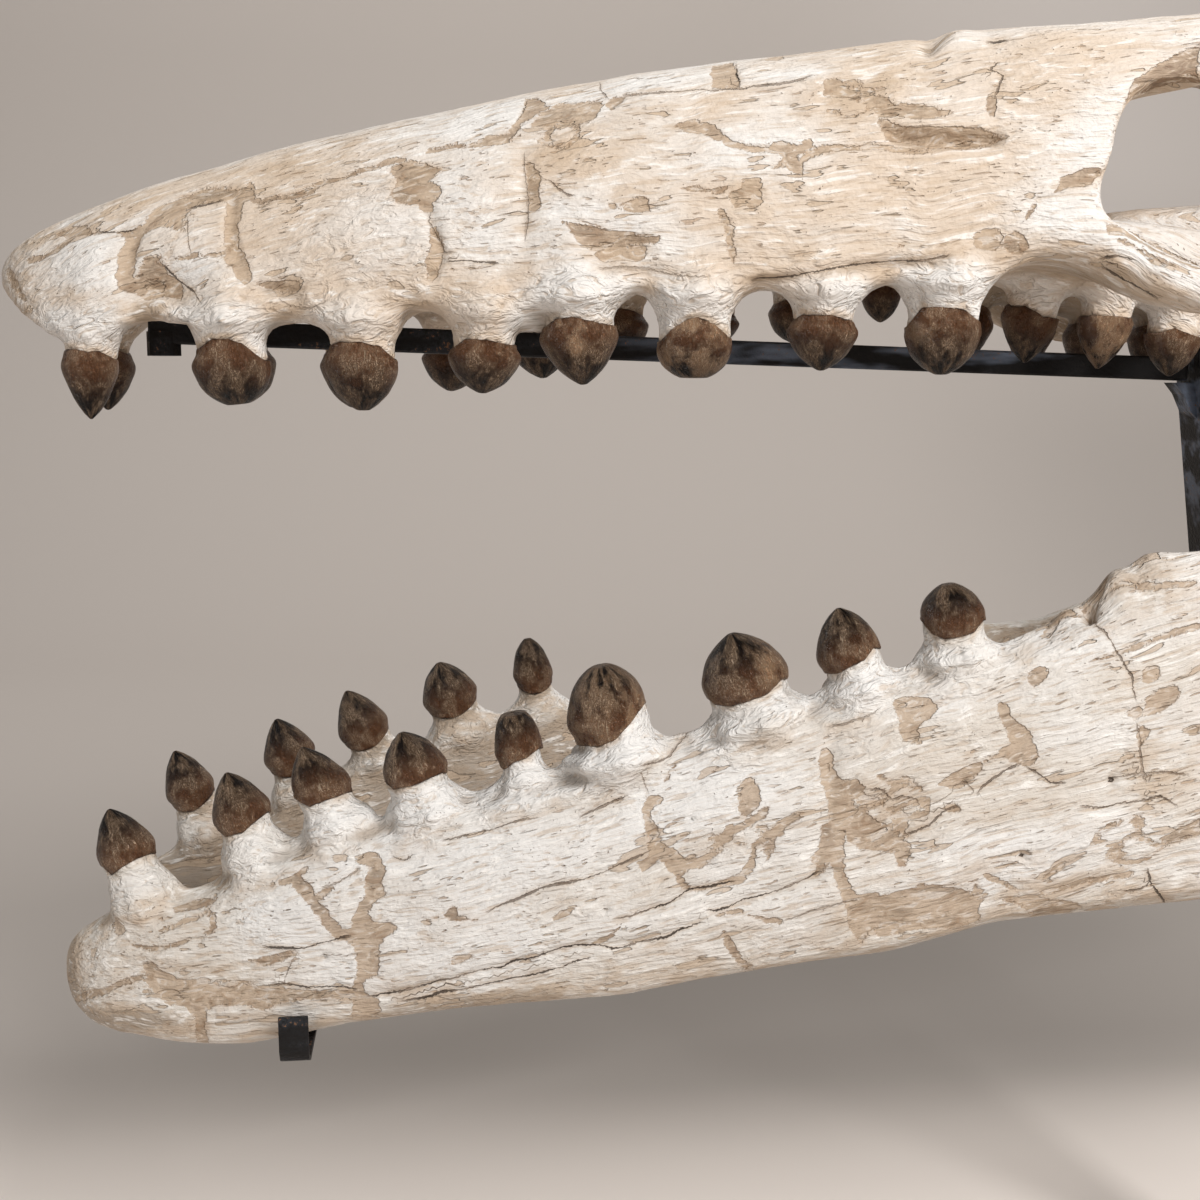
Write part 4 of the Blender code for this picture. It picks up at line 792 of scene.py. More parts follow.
class Shader:
    """A material under construction: short calls that add and link its nodes."""

    def __init__(self, name):
        self.material = bpy.data.materials.new(name)
        self.material.use_nodes = True
        self.tree = self.material.node_tree
        self.surface = self.tree.nodes["Principled BSDF"]

    def node(self, kind, inputs=(), **settings):
        node = self.tree.nodes.new("ShaderNode" + kind)
        for key, value in settings.items():
            setattr(node, key, value)
        for key, value in dict(inputs).items():
            self.feed(node.inputs[key], value)
        return node

    def feed(self, socket, value):
        if isinstance(value, bpy.types.NodeSocket):
            self.tree.links.new(value, socket)
        else:
            socket.default_value = value

    def set(self, **values):
        for key, value in values.items():
            self.feed(self.surface.inputs[key.replace("_", " ")], value)

    def number(self, name):
        return self.node("Attribute", attribute_name=name).outputs["Fac"]

    def vector(self, name):
        return self.node("Attribute", attribute_name=name).outputs["Vector"]

    def scaled(self, vector, scales):
        return self.node("VectorMath", {0: vector, 1: scales}, operation="MULTIPLY").outputs[0]

    def noise(self, vector, scale=1.0, detail=3.0, roughness=0.5, distortion=0.0):
        node = self.node("TexNoise", {
            "Vector": vector, "Scale": scale, "Detail": detail, "Roughness": roughness,
            "Distortion": distortion})
        return node.outputs[0]

    def calc(self, operation, a, b=0.0, c=0.0, clamp=False):
        return self.node("Math", {0: a, 1: b, 2: c}, operation=operation, use_clamp=clamp).outputs[0]

    def ramp(self, value, low, high):
        """0 at low, 1 at high, smooth between."""
        return self.node("MapRange", {"Value": value, "From Min": low, "From Max": high},
                         interpolation_type="SMOOTHSTEP").outputs[0]

    def mix(self, share, a, b):
        node = self.node("Mix", {0: share}, data_type="RGBA")
        self.feed(node.inputs[6], a)
        self.feed(node.inputs[7], b)
        return node.outputs[2]

    def cover(self, under, share, most, tint):
        """Lays a colour over another: the most of it where the share is 1."""
        return self.mix(self.times(share, most), under, tint)

    def bump(self, height, distance):
        return self.node("Bump", {"Height": height, "Distance": distance, "Strength": 1.0}).outputs[0]

    def spread(self, value, low, high):
        """Turns 0 to 1 into low to high."""
        return self.node("MapRange", {"Value": value, "To Min": low, "To Max": high}).outputs[0]

    def times(self, a, b):
        return self.calc("MULTIPLY", a, b)

    def plus_scaled(self, value, factor, added):
        return self.calc("MULTIPLY_ADD", value, factor, added)


def colour(red, green, blue):
    return (red, green, blue, 1.0)


def bone_material(name, cream, white, tan):
    """Fossil bone: streaked along its grain, chalky in places, with tan filler in its cracks."""
    shader = Shader(name)
    grain = shader.vector("grain")
    seam = shader.number("seam")
    dark = shader.number("dark")
    wash = shader.number("wash")
    rough = shader.number("rough")
    pale = shader.number("pale")
    crack = shader.number("crack")
    split = shader.number("split")
    hollow = shader.number("hollow")
    deep_tan = colour(*(0.60 * part for part in tan[:3]))
    brown = colour(0.16, 0.092, 0.050)
    rust = colour(0.36, 0.23, 0.135)
    nearly_black = colour(0.035, 0.020, 0.012)

    patchy = shader.noise(shader.scaled(grain, (0.08, 0.17, 0.17)), 1.0, 3, 0.62)
    fine = shader.noise(grain, 1.1, 1, 0.6)
    strokes = shader.noise(shader.scaled(grain, (0.16, 0.36, 0.36)), 1.0, 2, 0.62, 1.3)
    long_grain = shader.noise(shader.scaled(grain, (0.045, 0.62, 0.62)), 1.0, 2, 0.62)
    dashes = shader.noise(shader.scaled(grain, (0.13, 1.0, 1.0)), 1.0, 1, 0.5)
    flakes = shader.noise(shader.scaled(grain, (0.05, 0.17, 0.17)), 1.0, 2, 0.6)
    smooth_bone = shader.calc("SUBTRACT", 1.0, rough, clamp=True)

    # Stains, streaks and chalk
    skin = shader.mix(pale, cream, white)
    # The wash number also carries painted shade on inner and lower faces and in some recesses, so these
    # tans paint shade as well as stains.
    stain = shader.times(shader.ramp(patchy, 0.40, 0.62), shader.ramp(wash, -0.3, 0.8))
    skin = shader.cover(skin, stain, 0.75, tan)
    skin = shader.cover(skin, shader.ramp(wash, 0.75, 1.5), 0.7, deep_tan)
    streaks = shader.times(shader.ramp(long_grain, 0.54, 0.66), smooth_bone)
    skin = shader.cover(skin, streaks, 0.50, tan)
    chalk = shader.times(shader.ramp(long_grain, 0.46, 0.34), shader.ramp(patchy, 0.60, 0.44))
    skin = shader.cover(skin, chalk, 0.65, colour(0.85, 0.82, 0.78))
    sunk = shader.times(shader.ramp(strokes, 0.45, 0.32), shader.calc("ADD", rough, 0.15, clamp=True))
    skin = shader.cover(skin, sunk, 0.50, tan)

    # Flaked places, short cuts and pits, and painted shade in hollows
    torn = shader.plus_scaled(long_grain, 0.30, flakes)
    torn = shader.plus_scaled(wash, 0.040, torn)
    flaked = shader.times(shader.ramp(torn, 0.800, 0.822), shader.ramp(rough, 0.9, 0.5))
    skin = shader.cover(skin, flaked, 0.68, tan)
    cluster = shader.times(shader.ramp(patchy, 0.42, 0.58), smooth_bone)
    cuts = shader.times(shader.ramp(dashes, 0.65, 0.71), cluster)
    skin = shader.cover(skin, cuts, 0.58, rust)
    pit = shader.times(shader.ramp(fine, 0.735, 0.775), shader.ramp(patchy, 0.40, 0.56))
    skin = shader.cover(skin, pit, 0.75, brown)
    # painted shade: recesses of the bone are darkened to deep tan
    skin = shader.cover(skin, shader.ramp(hollow, 0.05, 0.9), 0.55, deep_tan)

    # Filler with a ragged edge
    ragged = shader.plus_scaled(fine, 0.9, -0.45)
    ragged = shader.calc("ADD", ragged, shader.plus_scaled(patchy, 2.4, -1.2))
    ragged = shader.calc("ADD", ragged, shader.plus_scaled(long_grain, 2.2, -1.1))
    ragged = shader.calc("ADD", seam, ragged)
    filled = shader.ramp(ragged, 0.22, -0.22)
    mottled = shader.ramp(shader.plus_scaled(strokes, 0.8, patchy), 0.84, 1.14)
    filler = shader.mix(mottled, tan, deep_tan)
    filler = shader.cover(filler, shader.ramp(strokes, 0.45, 0.34), 0.40, white)
    filler = shader.mix(shader.times(dark, shader.ramp(strokes, 0.32, 0.60)), filler, brown)
    threads = shader.times(shader.ramp(strokes, 0.52, 0.66), shader.ramp(patchy, 0.35, 0.55))
    filler = shader.cover(filler, threads, 0.55, rust)
    skin = shader.cover(skin, filled, 0.90, filler)
    # painted shade: a rust-brown line on both sides of the filler's edge stands for the shadow at the
    # plates' raised edges
    edge = shader.times(shader.ramp(ragged, 0.40, 0.05), shader.ramp(ragged, -0.35, 0.05))
    edge = shader.times(edge, shader.ramp(patchy, 0.42, 0.62))
    skin = shader.cover(skin, edge, 0.45, rust)

    # Hairline cracks
    line = shader.calc("ADD", crack, shader.plus_scaled(fine, 0.9, -0.45))
    width = shader.plus_scaled(shader.ramp(patchy, 0.35, 0.65), 0.24, 0.08)
    line = shader.calc("DIVIDE", shader.calc("ABSOLUTE", line), width)
    beside = shader.times(shader.ramp(line, 7.0, 1.0), split)
    skin = shader.cover(skin, beside, 0.45, tan)
    line = shader.times(shader.ramp(line, 1.5, 0.6), split)
    skin = shader.cover(skin, line, 0.90, shader.mix(shader.ramp(split, 0.55, 0.95), brown, nearly_black))

    # Relief: value, where it counts, and weight
    terms = (
        (long_grain, smooth_bone, -0.60), (strokes, shader.plus_scaled(rough, 0.75, 0.25), 1.10),
        (cuts, 1.0, -0.25), (pit, 1.0, -0.35), (flaked, 1.0, -0.35), (filled, 1.0, -0.22),
        (line, 1.0, -0.60), (fine, 1.0, 0.10), (patchy, 1.0, 0.70),
    )
    relief = 0.0
    for value, mask, weight in terms:
        value = shader.times(value, mask) if mask != 1.0 else value
        relief = shader.plus_scaled(value, weight, relief)
    shader.set(Base_Color=skin, Roughness=0.66, Normal=shader.bump(relief, 0.0017))
    shader.set(Specular_IOR_Level=0.3)
    return shader.material


def enamel_material():
    """Brown enamel with a net of fine pale wrinkles, darker towards the tip."""
    shader = Shader("enamel")
    skin = shader.vector("skin")
    rise = shader.number("rise")
    worn = shader.number("worn")
    tone = shader.number("tone")

    cloudy = shader.noise(skin, 0.17, 3, 0.62)
    lift = shader.calc("ADD", rise, shader.plus_scaled(cloudy, 0.9, -0.45))
    red_brown, black_brown = colour(0.122, 0.054, 0.025), colour(0.007, 0.004, 0.003)
    body = shader.mix(shader.ramp(lift, 0.08, 0.72), red_brown, black_brown)
    body = shader.mix(shader.times(tone, shader.ramp(cloudy, 0.38, 0.60)), body,
                      colour(0.30, 0.175, 0.095))
    wrinkled = shader.noise(shader.scaled(skin, (1.25, 0.55, 1.25)), 1.0, 2, 0.6, 2.0)
    ridge = shader.ramp(shader.calc("ABSOLUTE", shader.calc("SUBTRACT", wrinkled, 0.5)), 0.045, 0.012)
    shown = shader.ramp(shader.calc("ADD", cloudy, shader.times(tone, 0.15)), 0.46, 0.64)
    lit = shader.times(ridge, shown)
    body = shader.cover(body, lit, 0.95, colour(0.52, 0.37, 0.25))
    scratch = shader.noise(shader.scaled(skin, (1.7, 0.25, 1.7)), 1.0, 1, 0.5, 1.2)
    scratch = shader.times(shader.ramp(scratch, 0.65, 0.70), shader.ramp(cloudy, 0.47, 0.60))
    body = shader.cover(body, scratch, 0.75, colour(0.55, 0.43, 0.31))
    body = shader.mix(worn, body, colour(0.16, 0.10, 0.065))
    edge = shader.calc("ADD", rise, shader.plus_scaled(cloudy, 0.16, -0.08))
    body = shader.cover(body, shader.ramp(edge, 0.035, -0.03), 0.8, colour(0.030, 0.016, 0.010))

    relief = shader.plus_scaled(ridge, 0.8, shader.times(wrinkled, 1.4))
    relief = shader.plus_scaled(cloudy, 1.6, relief)
    shader.set(Base_Color=body, Normal=shader.bump(relief, 0.0008),
               Roughness=shader.spread(cloudy, 0.20, 0.38))
    shader.set(Specular_IOR_Level=0.24)
    return shader.material


def steel_material():
    """Black paint on steel, with painted blue-grey glints, strongest along the bar, and small rust specks
    in the same places, where the paint is worn.
    """
    shader = Shader("black_steel")
    where = shader.scaled(shader.node("TexCoord").outputs["Object"], (1000.0, 1000.0, 1000.0))
    # painted glint: blue-grey places on the paint, which also mark where the paint is worn and rust specks
    # sit
    glint_and_rubbed = shader.ramp(shader.noise(shader.scaled(where, (0.022, 0.1, 0.1)), 1.0, 3, 0.6), 0.46, 0.62)
    grit = shader.noise(where, 0.9, 3, 0.6)
    paint = shader.mix(shader.times(glint_and_rubbed, shader.ramp(grit, 0.30, 0.58)),
                       colour(0.008, 0.007, 0.007), colour(0.024, 0.027, 0.032))
    side, depth, rise = shader.node("SeparateXYZ", {0: where}).outputs
    # painted glint: a stronger blue-grey sheen on the bar's visible stretch
    bar = shader.times(shader.ramp(side, -170, -70), shader.ramp(rise, 250, 330))
    paint = shader.mix(shader.times(bar, glint_and_rubbed), paint, colour(0.15, 0.18, 0.24))
    rust = shader.times(shader.ramp(grit, 0.60, 0.66), shader.ramp(glint_and_rubbed, 0.3, 0.9))
    paint = shader.cover(paint, rust, 0.85, colour(0.22, 0.11, 0.055))
    shader.set(Base_Color=paint, Metallic=0.2, Normal=shader.bump(grit, 0.00028),
               Roughness=shader.spread(grit, 0.30, 0.52))
    shader.set(Specular_IOR_Level=0.22)
    return shader.material


def stage_material():
    """Pale paper with painted light and shade: a painted shadow across the middle of the floor, painted
    light at the front, in the front left corner and up at the back on the right, and painted shade low on
    the right.
    """
    shader = Shader("stage")
    where = shader.node("TexCoord").outputs["Object"]
    side, depth, rise = shader.node("SeparateXYZ", {0: where}).outputs
    # painted shadow: darker paper across the middle of the floor, where the jaw's shadow falls
    painted_shadow_band = shader.times(shader.ramp(depth, 0.12, 0.24), shader.ramp(depth, 0.85, 0.40))
    painted_shadow_band = shader.times(painted_shadow_band, shader.ramp(side, -0.75, 0.10))
    # painted light: paler paper at the front of the floor and in its front left corner
    front = shader.ramp(depth, 0.20, 0.11)
    corner = shader.times(shader.ramp(depth, 0.26, 0.13), shader.ramp(side, -0.05, -0.45))
    # painted light higher up at the back on the right, and painted shade low on the right
    painted_light_behind = shader.times(shader.ramp(rise, 0.40, 0.80), shader.ramp(side, 0.3, 1.1))
    beside = shader.times(shader.ramp(rise, 0.50, 0.20), shader.ramp(side, 0.45, 1.0))
    paper = shader.mix(painted_shadow_band, colour(0.535, 0.488, 0.452), colour(0.335, 0.304, 0.279))
    paper = shader.mix(front, paper, colour(0.72, 0.659, 0.611))
    paper = shader.mix(corner, paper, colour(0.82, 0.75, 0.695))
    paper = shader.mix(painted_light_behind, paper, colour(0.66, 0.61, 0.575))
    paper = shader.cover(paper, beside, 0.7, colour(0.43, 0.39, 0.36))
    shader.set(Base_Color=paper, Roughness=0.95)
    return shader.material


# Bone

# Edge lengths of the even mesh under each bone, and the starts of their random numbers
SKULL_VOXEL, LEFT_JAW_VOXEL, RIGHT_JAW_VOXEL = 0.00253, 0.0013, 0.0020
SKULL_SEED, LEFT_JAW_SEED, RIGHT_JAW_SEED = 100, 300, 400
# Direction of the grain: length along the bone, and the slope there
SKULL_GRAIN = [
    (0.0, 0.55), (0.04, 0.32), (0.12, 0.12), (0.20, 0.03), (0.28, 0.08), (0.36, 0.05), (0.64, -0.03),
]
JAW_GRAIN = [(0.0, 0.05), (0.08, 0.12), (0.14, 0.24), (0.24, 0.28), (0.64, 0.24)]
# Wavering of what is drawn from the picture: size in metres, reach in pixels, and its random number
WAVERS = ((0.0110, 2.2, 1), (0.0035, 1.3, 31))
FAR = 9.0               # millimetres from anything drawn where nothing of it shows
NO_FILLER = 6.0         # and from filler
PLATE = 0.042           # size of the unseen sides' plates between their filled cracks
HOLE_DEPTH = 1.6        # millimetres
# Recesses found this way get painted shade in the bone's colour.
HOLLOW_ROUNDS = 12      # rounds of averaging that tell a hollow from its surroundings
CHEEK_START = 0.318     # where the cheek bar starts, and how its grain rises from there
CHEEK_SLOPE = 0.5

Marks = namedtuple("Marks", "seams patches nets pushes relief grooves washes holes", defaults=[()] * 8)
SKULL_MARKS = Marks(SKULL_SEAMS, SKULL_PATCHES, SKULL_NETS, SKULL_PUSHES, SKULL_RELIEF, SKULL_GROOVES,
                    SKULL_WASHES)
LEFT_JAW_MARKS = Marks(JAW_SEAMS, JAW_PATCHES, JAW_NETS, JAW_PUSHES, JAW_RELIEF, JAW_GROOVES, JAW_WASHES,
                       JAW_HOLES)
RIGHT_JAW_MARKS = Marks(washes=FAR_SHADE_WASHES)


def grain_of(points, slopes, cheek=False):
    """Place in millimetres along, up and across the bone's grain."""
    x = points[:, 0] + LENGTH / 2
    z = points[:, 2] - MOUTH_HEIGHT
    along = np.linspace(0, LENGTH, 65)
    slope = np.interp(along, [row[0] for row in slopes], [row[1] for row in slopes])
    rise = np.concatenate([[0], np.cumsum((slope[1:] + slope[:-1]) / 2 * np.diff(along))])
    up = z - np.interp(x, along, rise)
    if cheek:
        low = ramp(x, CHEEK_START, CHEEK_START + 0.012) * ramp(z, 0.062, 0.052)
        up = up + low * CHEEK_SLOPE * (x - CHEEK_START)
    drift = [reach * noise(points, 0.017, 70 + i, 2) for i, reach in enumerate((1.5, 2.0, 2.0))]
    return np.stack([x, up, points[:, 1]], axis=1) / MM + np.stack(drift, axis=1)


class BoneSurface:
    """The skin of one bone: its points, its relief, and the numbers that its material reads.

    seam is the distance in millimetres to the nearest filler, below 0 inside it, and dark how dark
    that filler is; a few dark patches are painted shade. crack and split are the same for hairline
    cracks. wash goes from chalky white below 0 to tan above, and also carries painted shade on inner
    and lower faces and in some recesses; rough is for torn bone, and height is the relief in millimetres.
    """

    def __init__(self, mesh, near_side, pushes, seed):
        self.mesh = mesh
        self.seed = seed
        self.points, self.normals = arrays(mesh)
        sight = self.sight = Sight(self.points, self.normals)
        on_side = near_side(self.points)
        for x, y, radius, right, down in pushes:
            share = on_side * sight.blob(x, y, radius, radius, 0) * sight.metres
            across, down = np.outer(share * right, sight.right), np.outer(share * down, sight.up)
            self.points = self.points + across - down
        for size, reach, step in WAVERS:
            sight.u += reach * self.noise(size, step)
            sight.v += reach * self.noise(size, step + 1)
        self.near = ramp(sight.facing, 0.0, 0.16) * on_side
        self.inward = ramp(-self.normals[:, 1] * np.sign(self.points[:, 1]), 0.1, 0.6)
        self.pixel_mm = sight.metres / MM
        count = len(self.points)
        self.seam = np.full(count, NO_FILLER)
        self.dark = np.zeros(count)
        self.crack = np.full(count, FAR)
        self.split = np.zeros(count)
        self.rough = ramp(self.noise(0.05, 9, 3), 0.05, 0.5) * 0.7

    def noise(self, size, step, octaves=2):
        return noise(self.points, size, self.seed + step, octaves)

    def fill(self, distance, darkness, well_inside=-FAR):
        """Adds filler: its signed distance, and its darkness where it is nearest or well inside."""
        closer = distance < self.seam
        self.seam = np.where(closer, distance, self.seam)
        self.dark = np.where(closer | (distance < well_inside), darkness, self.dark)

    def draw_seams(self, seams, patches):
        """Hairline cracks, filled cracks and patches of filler, as the picture shows them."""
        uneven = 1 + 0.45 * self.noise(0.009, 33)
        shade = 0.8 + 0.5 * self.noise(0.006, 35)
        fading = 1 - 0.35 * ramp(self.noise(0.010, 34), 0.1, 0.5)
        unseen = FAR * (1 - self.near)
        for half, darkness, route in seams:
            signed, left_over = self.sight.route(route)
            if half < THIN:
                signed = signed * self.pixel_mm
                closer = np.abs(signed) < np.abs(self.crack)
                self.crack = np.where(closer, signed, self.crack)
                strength = min(1.0, 0.35 + 0.7 * darkness) * self.near * (ramp(left_over, 0, 7) * fading)
                self.split = np.where(closer, strength * ramp(np.abs(signed), 3.4, 1.8), self.split)
            else:
                reach = half * uneven * np.sqrt(np.clip(left_over / (3 * half) + 0.3, 0, 1))
                self.fill((np.abs(signed) - reach) * self.pixel_mm + unseen, darkness * shade)
        for darkness, corners in patches:
            self.fill(outline_of(self.sight, corners) * self.pixel_mm + unseen, darkness * shade, -0.8)

    def draw_nets(self, nets):
        """Nets of filled cracks: wide ones on the sides that the picture doesn't show, and small ones."""
        wobble = [self.noise(0.02, 10 + axis, 3) for axis in range(3)]
        wobbly = self.points + 0.006 * np.stack(wobble, axis=1)
        width = 2.4 * ramp(self.noise(0.05, 3), -0.4, 0.6) - 0.5
        net = plate_edges(wobbly, PLATE, self.seed + 4) / MM - width + FAR * self.near
        self.fill(net, 0.25 + 0.5 * self.noise(0.06, 5))
        half_width = 0.55 * (1 + 0.45 * self.noise(0.009, 33))
        shade = 0.8 + 0.5 * self.noise(0.006, 35)
        for number, (*oval, plate) in enumerate(nets):
            reached = self.near * self.sight.blob(*oval)
            net = plate_edges(wobbly, plate * MM, self.seed + 50 + number) / MM
            self.fill(net - half_width + FAR * ramp(reached, 0.45, 0.25), 0.15 * shade)

    def raise_relief(self, relief, grooves):
        self.height = 0.45 * self.noise(0.030, 6) + 0.24 * self.noise(0.007, 7, 3)
        for *oval, rise in relief:
            self.height += self.near * rise * self.sight.blob(*oval)
        for half, rise, route in grooves:
            signed, left_over = self.sight.route(route)
            self.height += self.near * rise * np.exp(-(signed / half) ** 2) * ramp(left_over, -1, 2 * half)
        self.height -= 0.35 * ramp(self.seam, 0.6, -0.6)
        self.height -= 0.25 * self.split * ramp(np.abs(self.crack), 1.4, 0.2)

    def wash_over(self, washes):
        """Tan and white washes, with painted shade: browner on inner and lower faces."""
        self.wash = 0.35 * self.noise(0.045, 8, 3)
        for *oval, strength in washes:
            self.wash += self.near * strength * self.sight.blob(*oval)
        # painted shade: faces turned inwards and faces turned down are washed browner
        self.wash += 1.5 * self.inward * ramp(self.noise(0.03, 37), -0.8, 0.1)
        self.wash += 0.9 * ramp(-self.normals[:, 2], 0.0, 0.6)

    def root_of(self, crown):
        """White, rough and fluted bone around a crown, with a tan line along the enamel's edge, and
        painted shade on the roots' inner faces.
        """
        above, away, edge = crown.place_of(self.points)
        below = np.maximum(0, edge - above)
        distance = np.hypot(below * 0.8, np.maximum(0, away - crown.radius))
        root = ramp(distance, 0.017, 0.008)
        self.rough = np.maximum(self.rough, root)
        self.seam = self.seam + 5 * root
        self.split = self.split * (1 - ramp(distance, 0.010, 0.004))
        line = 0.9 * ramp(distance, 0.0026, 0.0006)
        foot = 0.5 * ramp(distance, 0.017, 0.012) * ramp(distance, 0.006, 0.012)
        # painted shade: the inner faces of the roots are washed browner
        self.wash = self.wash * (1 - 0.7 * root) - 0.45 * root + line + foot + 1.0 * root * self.inward
        turn = (self.points - np.array(crown.base)) / np.maximum(away, 0.001)[:, None] * 0.006
        flutes = noise(turn, 0.0023, self.seed + 21, 2)
        self.height += root * (0.20 * self.noise(0.0042, 20) + 0.40 * flutes)

    def draw_in_under(self, crown):
        """Keeps the bone inside the crown's skin, and below its worn tip."""
        above, away, edge = crown.place_of(self.points)
        over = above - edge
        beside = away < 1.4 * crown.radius
        not_past = above < crown.length + 0.003
        full = crown.skin_radius(np.maximum(above, edge), edge)
        held = ramp(away, full + 0.0056, full + 0.0030) * ramp(over, -0.0075, -0.0004) * not_past
        target = np.minimum(away, full - np.where(over > 0, 0.0011, 0.0))
        pull = held * np.maximum(0, away - target) / np.maximum(away, 1e-6)
        middle = np.array(crown.base) + np.outer(above, crown.axis)
        self.points = self.points + pull[:, None] * (middle - self.points)
        sunk = beside * not_past * np.maximum(0, above - crown.top + 0.002)
        self.points = self.points - np.outer(sunk, crown.axis)
        self.height = self.height * (1 - ramp(over, -0.0006, 0.0006) * beside)

    def drill(self, holes):
        for x, y, radius in holes:
            distance = np.hypot(self.sight.u - x, self.sight.v - y)
            hole = self.near * ramp(distance, radius * 1.9, radius * 0.7)
            self.height -= HOLE_DEPTH * hole
            self.crack = np.where(hole > 0.5, 0.0, self.crack)
            self.split = np.where(hole > 0.5, 1.0, self.split)

    def store(self, grain):
        """Moves the mesh to its relief inside the frame's box, and gives it the material's numbers."""
        mesh = self.mesh
        points = np.clip(self.points + self.normals * (self.height * MM)[:, None], *CAD_BOX)
        mesh.vertices.foreach_set("co", points.ravel())
        mesh.update()
        nearby = Neighbours(mesh)
        # painted shade: how deep each point lies in a recess, which the bone material darkens
        level = nearby.average_points(nearby.average_points(points))
        wide = level
        for _ in range(HOLLOW_ROUNDS):
            wide = nearby.average_points(wide)
        hollow = np.sum((wide - level) * arrays(mesh)[1], axis=1) / MM * 1.3
        pale = 0.45 + 1.5 * noise(grain, 22.0, self.seed + 36, 3, (2, 1, 1)) - 0.75 * self.wash
        give(mesh, "seam", np.clip(self.seam, -4, NO_FILLER))
        give(mesh, "dark", np.clip(self.dark, 0, 2))
        give(mesh, "crack", np.clip(self.crack, -FAR, FAR))
        give(mesh, "split", self.split)
        give(mesh, "wash", np.clip(self.wash, -1.3, 1.5))
        give(mesh, "rough", np.clip(self.rough, 0, 1))
        give(mesh, "hollow", np.clip(hollow, -2, 2))
        give(mesh, "pale", np.clip(pale, 0, 1))
        give(mesh, "grain", grain)


def dress_bone(item, crowns, near_side, marks, seed, grain):
    """Gives a bone its relief, and the numbers that its material reads."""
    surface = BoneSurface(item.data, near_side, marks.pushes, seed)
    surface.draw_seams(marks.seams, marks.patches)
    surface.draw_nets(marks.nets)
    surface.raise_relief(marks.relief, marks.grooves)
    surface.wash_over(marks.washes)
    for crown in crowns:
        surface.root_of(crown)
        surface.draw_in_under(crown)
    surface.drill(marks.holes)
    surface.store(grain)


def seen_faces(limit):
    """A test for faces in the picture that look towards the camera, left of a given distance."""
    def wanted(centres, normals):
        sight = Sight(centres, normals)
        return (sight.facing > 0.0) & (centres[:, 1] < limit) & (sight.u < PICTURE + 30)
    return wanted


def soft_away_from(crowns, near_crowns):
    """A strength of smoothing that is full away from the crowns, and weak beside them."""
    def strength(points):
        nearest = np.full(len(points), np.inf)
        for crown in crowns:
            off = np.linalg.norm(points - np.array(crown.base), axis=1) - crown.radius
            nearest = np.minimum(nearest, off)
        return near_crowns + (1 - near_crowns) * ramp(nearest, 0.008, 0.020)
    return strength


def left_half(points):
    return ramp(points[:, 1], -0.002, -0.010)


def everywhere(points):
    return np.ones(len(points))


def build_cranium(material):
    crowns = crowns_of("crown_upper", "crown_palate")
    item = dense_bone("cranium_bone", ["cranium"] + [crown.node for crown in crowns], SKULL_VOXEL)
    strength = soft_away_from(crowns, 0.25)
    smooth_mesh(item.data, 12, strength)
    refine(item, seen_faces(-0.012))
    smooth_mesh(item.data, 3, strength)
    grain = grain_of(arrays(item.data)[0], SKULL_GRAIN, cheek=True)
    dress_bone(item, crowns, left_half, SKULL_MARKS, SKULL_SEED, grain)
    finish_piece(item, "root", "skull_bone", material, "cranium")


def build_jaw(side, voxel, rounds, marks, seed, material):
    crowns = crowns_of("crown_lower_" + side)
    item = dense_bone("jaw_bone_" + side, ["mandible_" + side] + [crown.node for crown in crowns], voxel)
    smooth_mesh(item.data, rounds, soft_away_from(crowns, 0.3))
    dress_bone(item, crowns, everywhere, marks, seed, grain_of(arrays(item.data)[0], JAW_GRAIN))
    finish_piece(item, "root", "jaw_bone", material, "mandible_" + side)


# Crowns

SHELL = 0.0012          # how far the inner rim of a crown's skin lies inside the outer one
LOWER = 0.0002          # and how far below it
WORN_SINK = 0.15        # what is left of the height above a worn tip


def crown_skin(crown, seed):
    """Angles, heights, radii, rise from the edge and wear of a crown's skin, ring by ring upwards."""
    columns = len(crown.angles)
    angle = np.tile(crown.angles, CROWN_ROWS)
    rise = np.repeat(np.linspace(0, 1, CROWN_ROWS) ** 0.85, columns)
    ragged = 0.00025 * noise(crown.ring(crown.angles) * 0.003, 0.0011, seed + 9, 3)
    edge = np.tile(crown.edges + ragged, CROWN_ROWS)
    height = edge + rise * (crown.length - edge)
    ring = crown.ring(angle)
    radius = crown.skin_radius(height, edge)
    rough_place = ring * radius[:, None] + np.outer(height, crown.axis)
    uneven = noise(rough_place, crown.radius * 1.1, seed, 2)
    wrinkle = noise(rough_place, 0.0022, seed + 5, 2)
    pleats = noise(ring * 0.004 + np.outer(height, crown.axis) * 0.25, 0.0012, seed + 7, 2)
    radius = radius * (1 + 0.040 * uneven * ramp(rise, 0.0, 0.3)) + 0.00012 * wrinkle
    radius = radius - 0.00022 * np.abs(pleats) * ramp(rise, 0.25, 0.8)
    radius = radius + 0.00030 * ramp(rise, 0.10, 0.02)
    worn = ramp(height, crown.top - 0.0006, crown.top)
    height = np.minimum(height, crown.top + WORN_SINK * (height - crown.top))
    return angle, height, radius, rise, worn


def crown_faces(rows, columns):
    """Faces between the rings, and to a tip and a foot that follow the rings' points."""
    grid = np.arange(rows * columns).reshape(rows, columns)
    grid = grid[:-1]
    beside = np.roll(grid, -1, axis=1)
    quads = np.stack([grid[:-1], beside[:-1], beside[1:], grid[1:]], axis=-1).reshape(-1, 4)
    tip, foot = rows * columns, rows * columns + 1
    over = [(a, b, tip) for a, b in zip(grid[-1].tolist(), beside[-1].tolist())]
    under = [(b, a, foot) for a, b in zip(grid[0].tolist(), beside[0].tolist())]
    return quads.tolist() + over + under


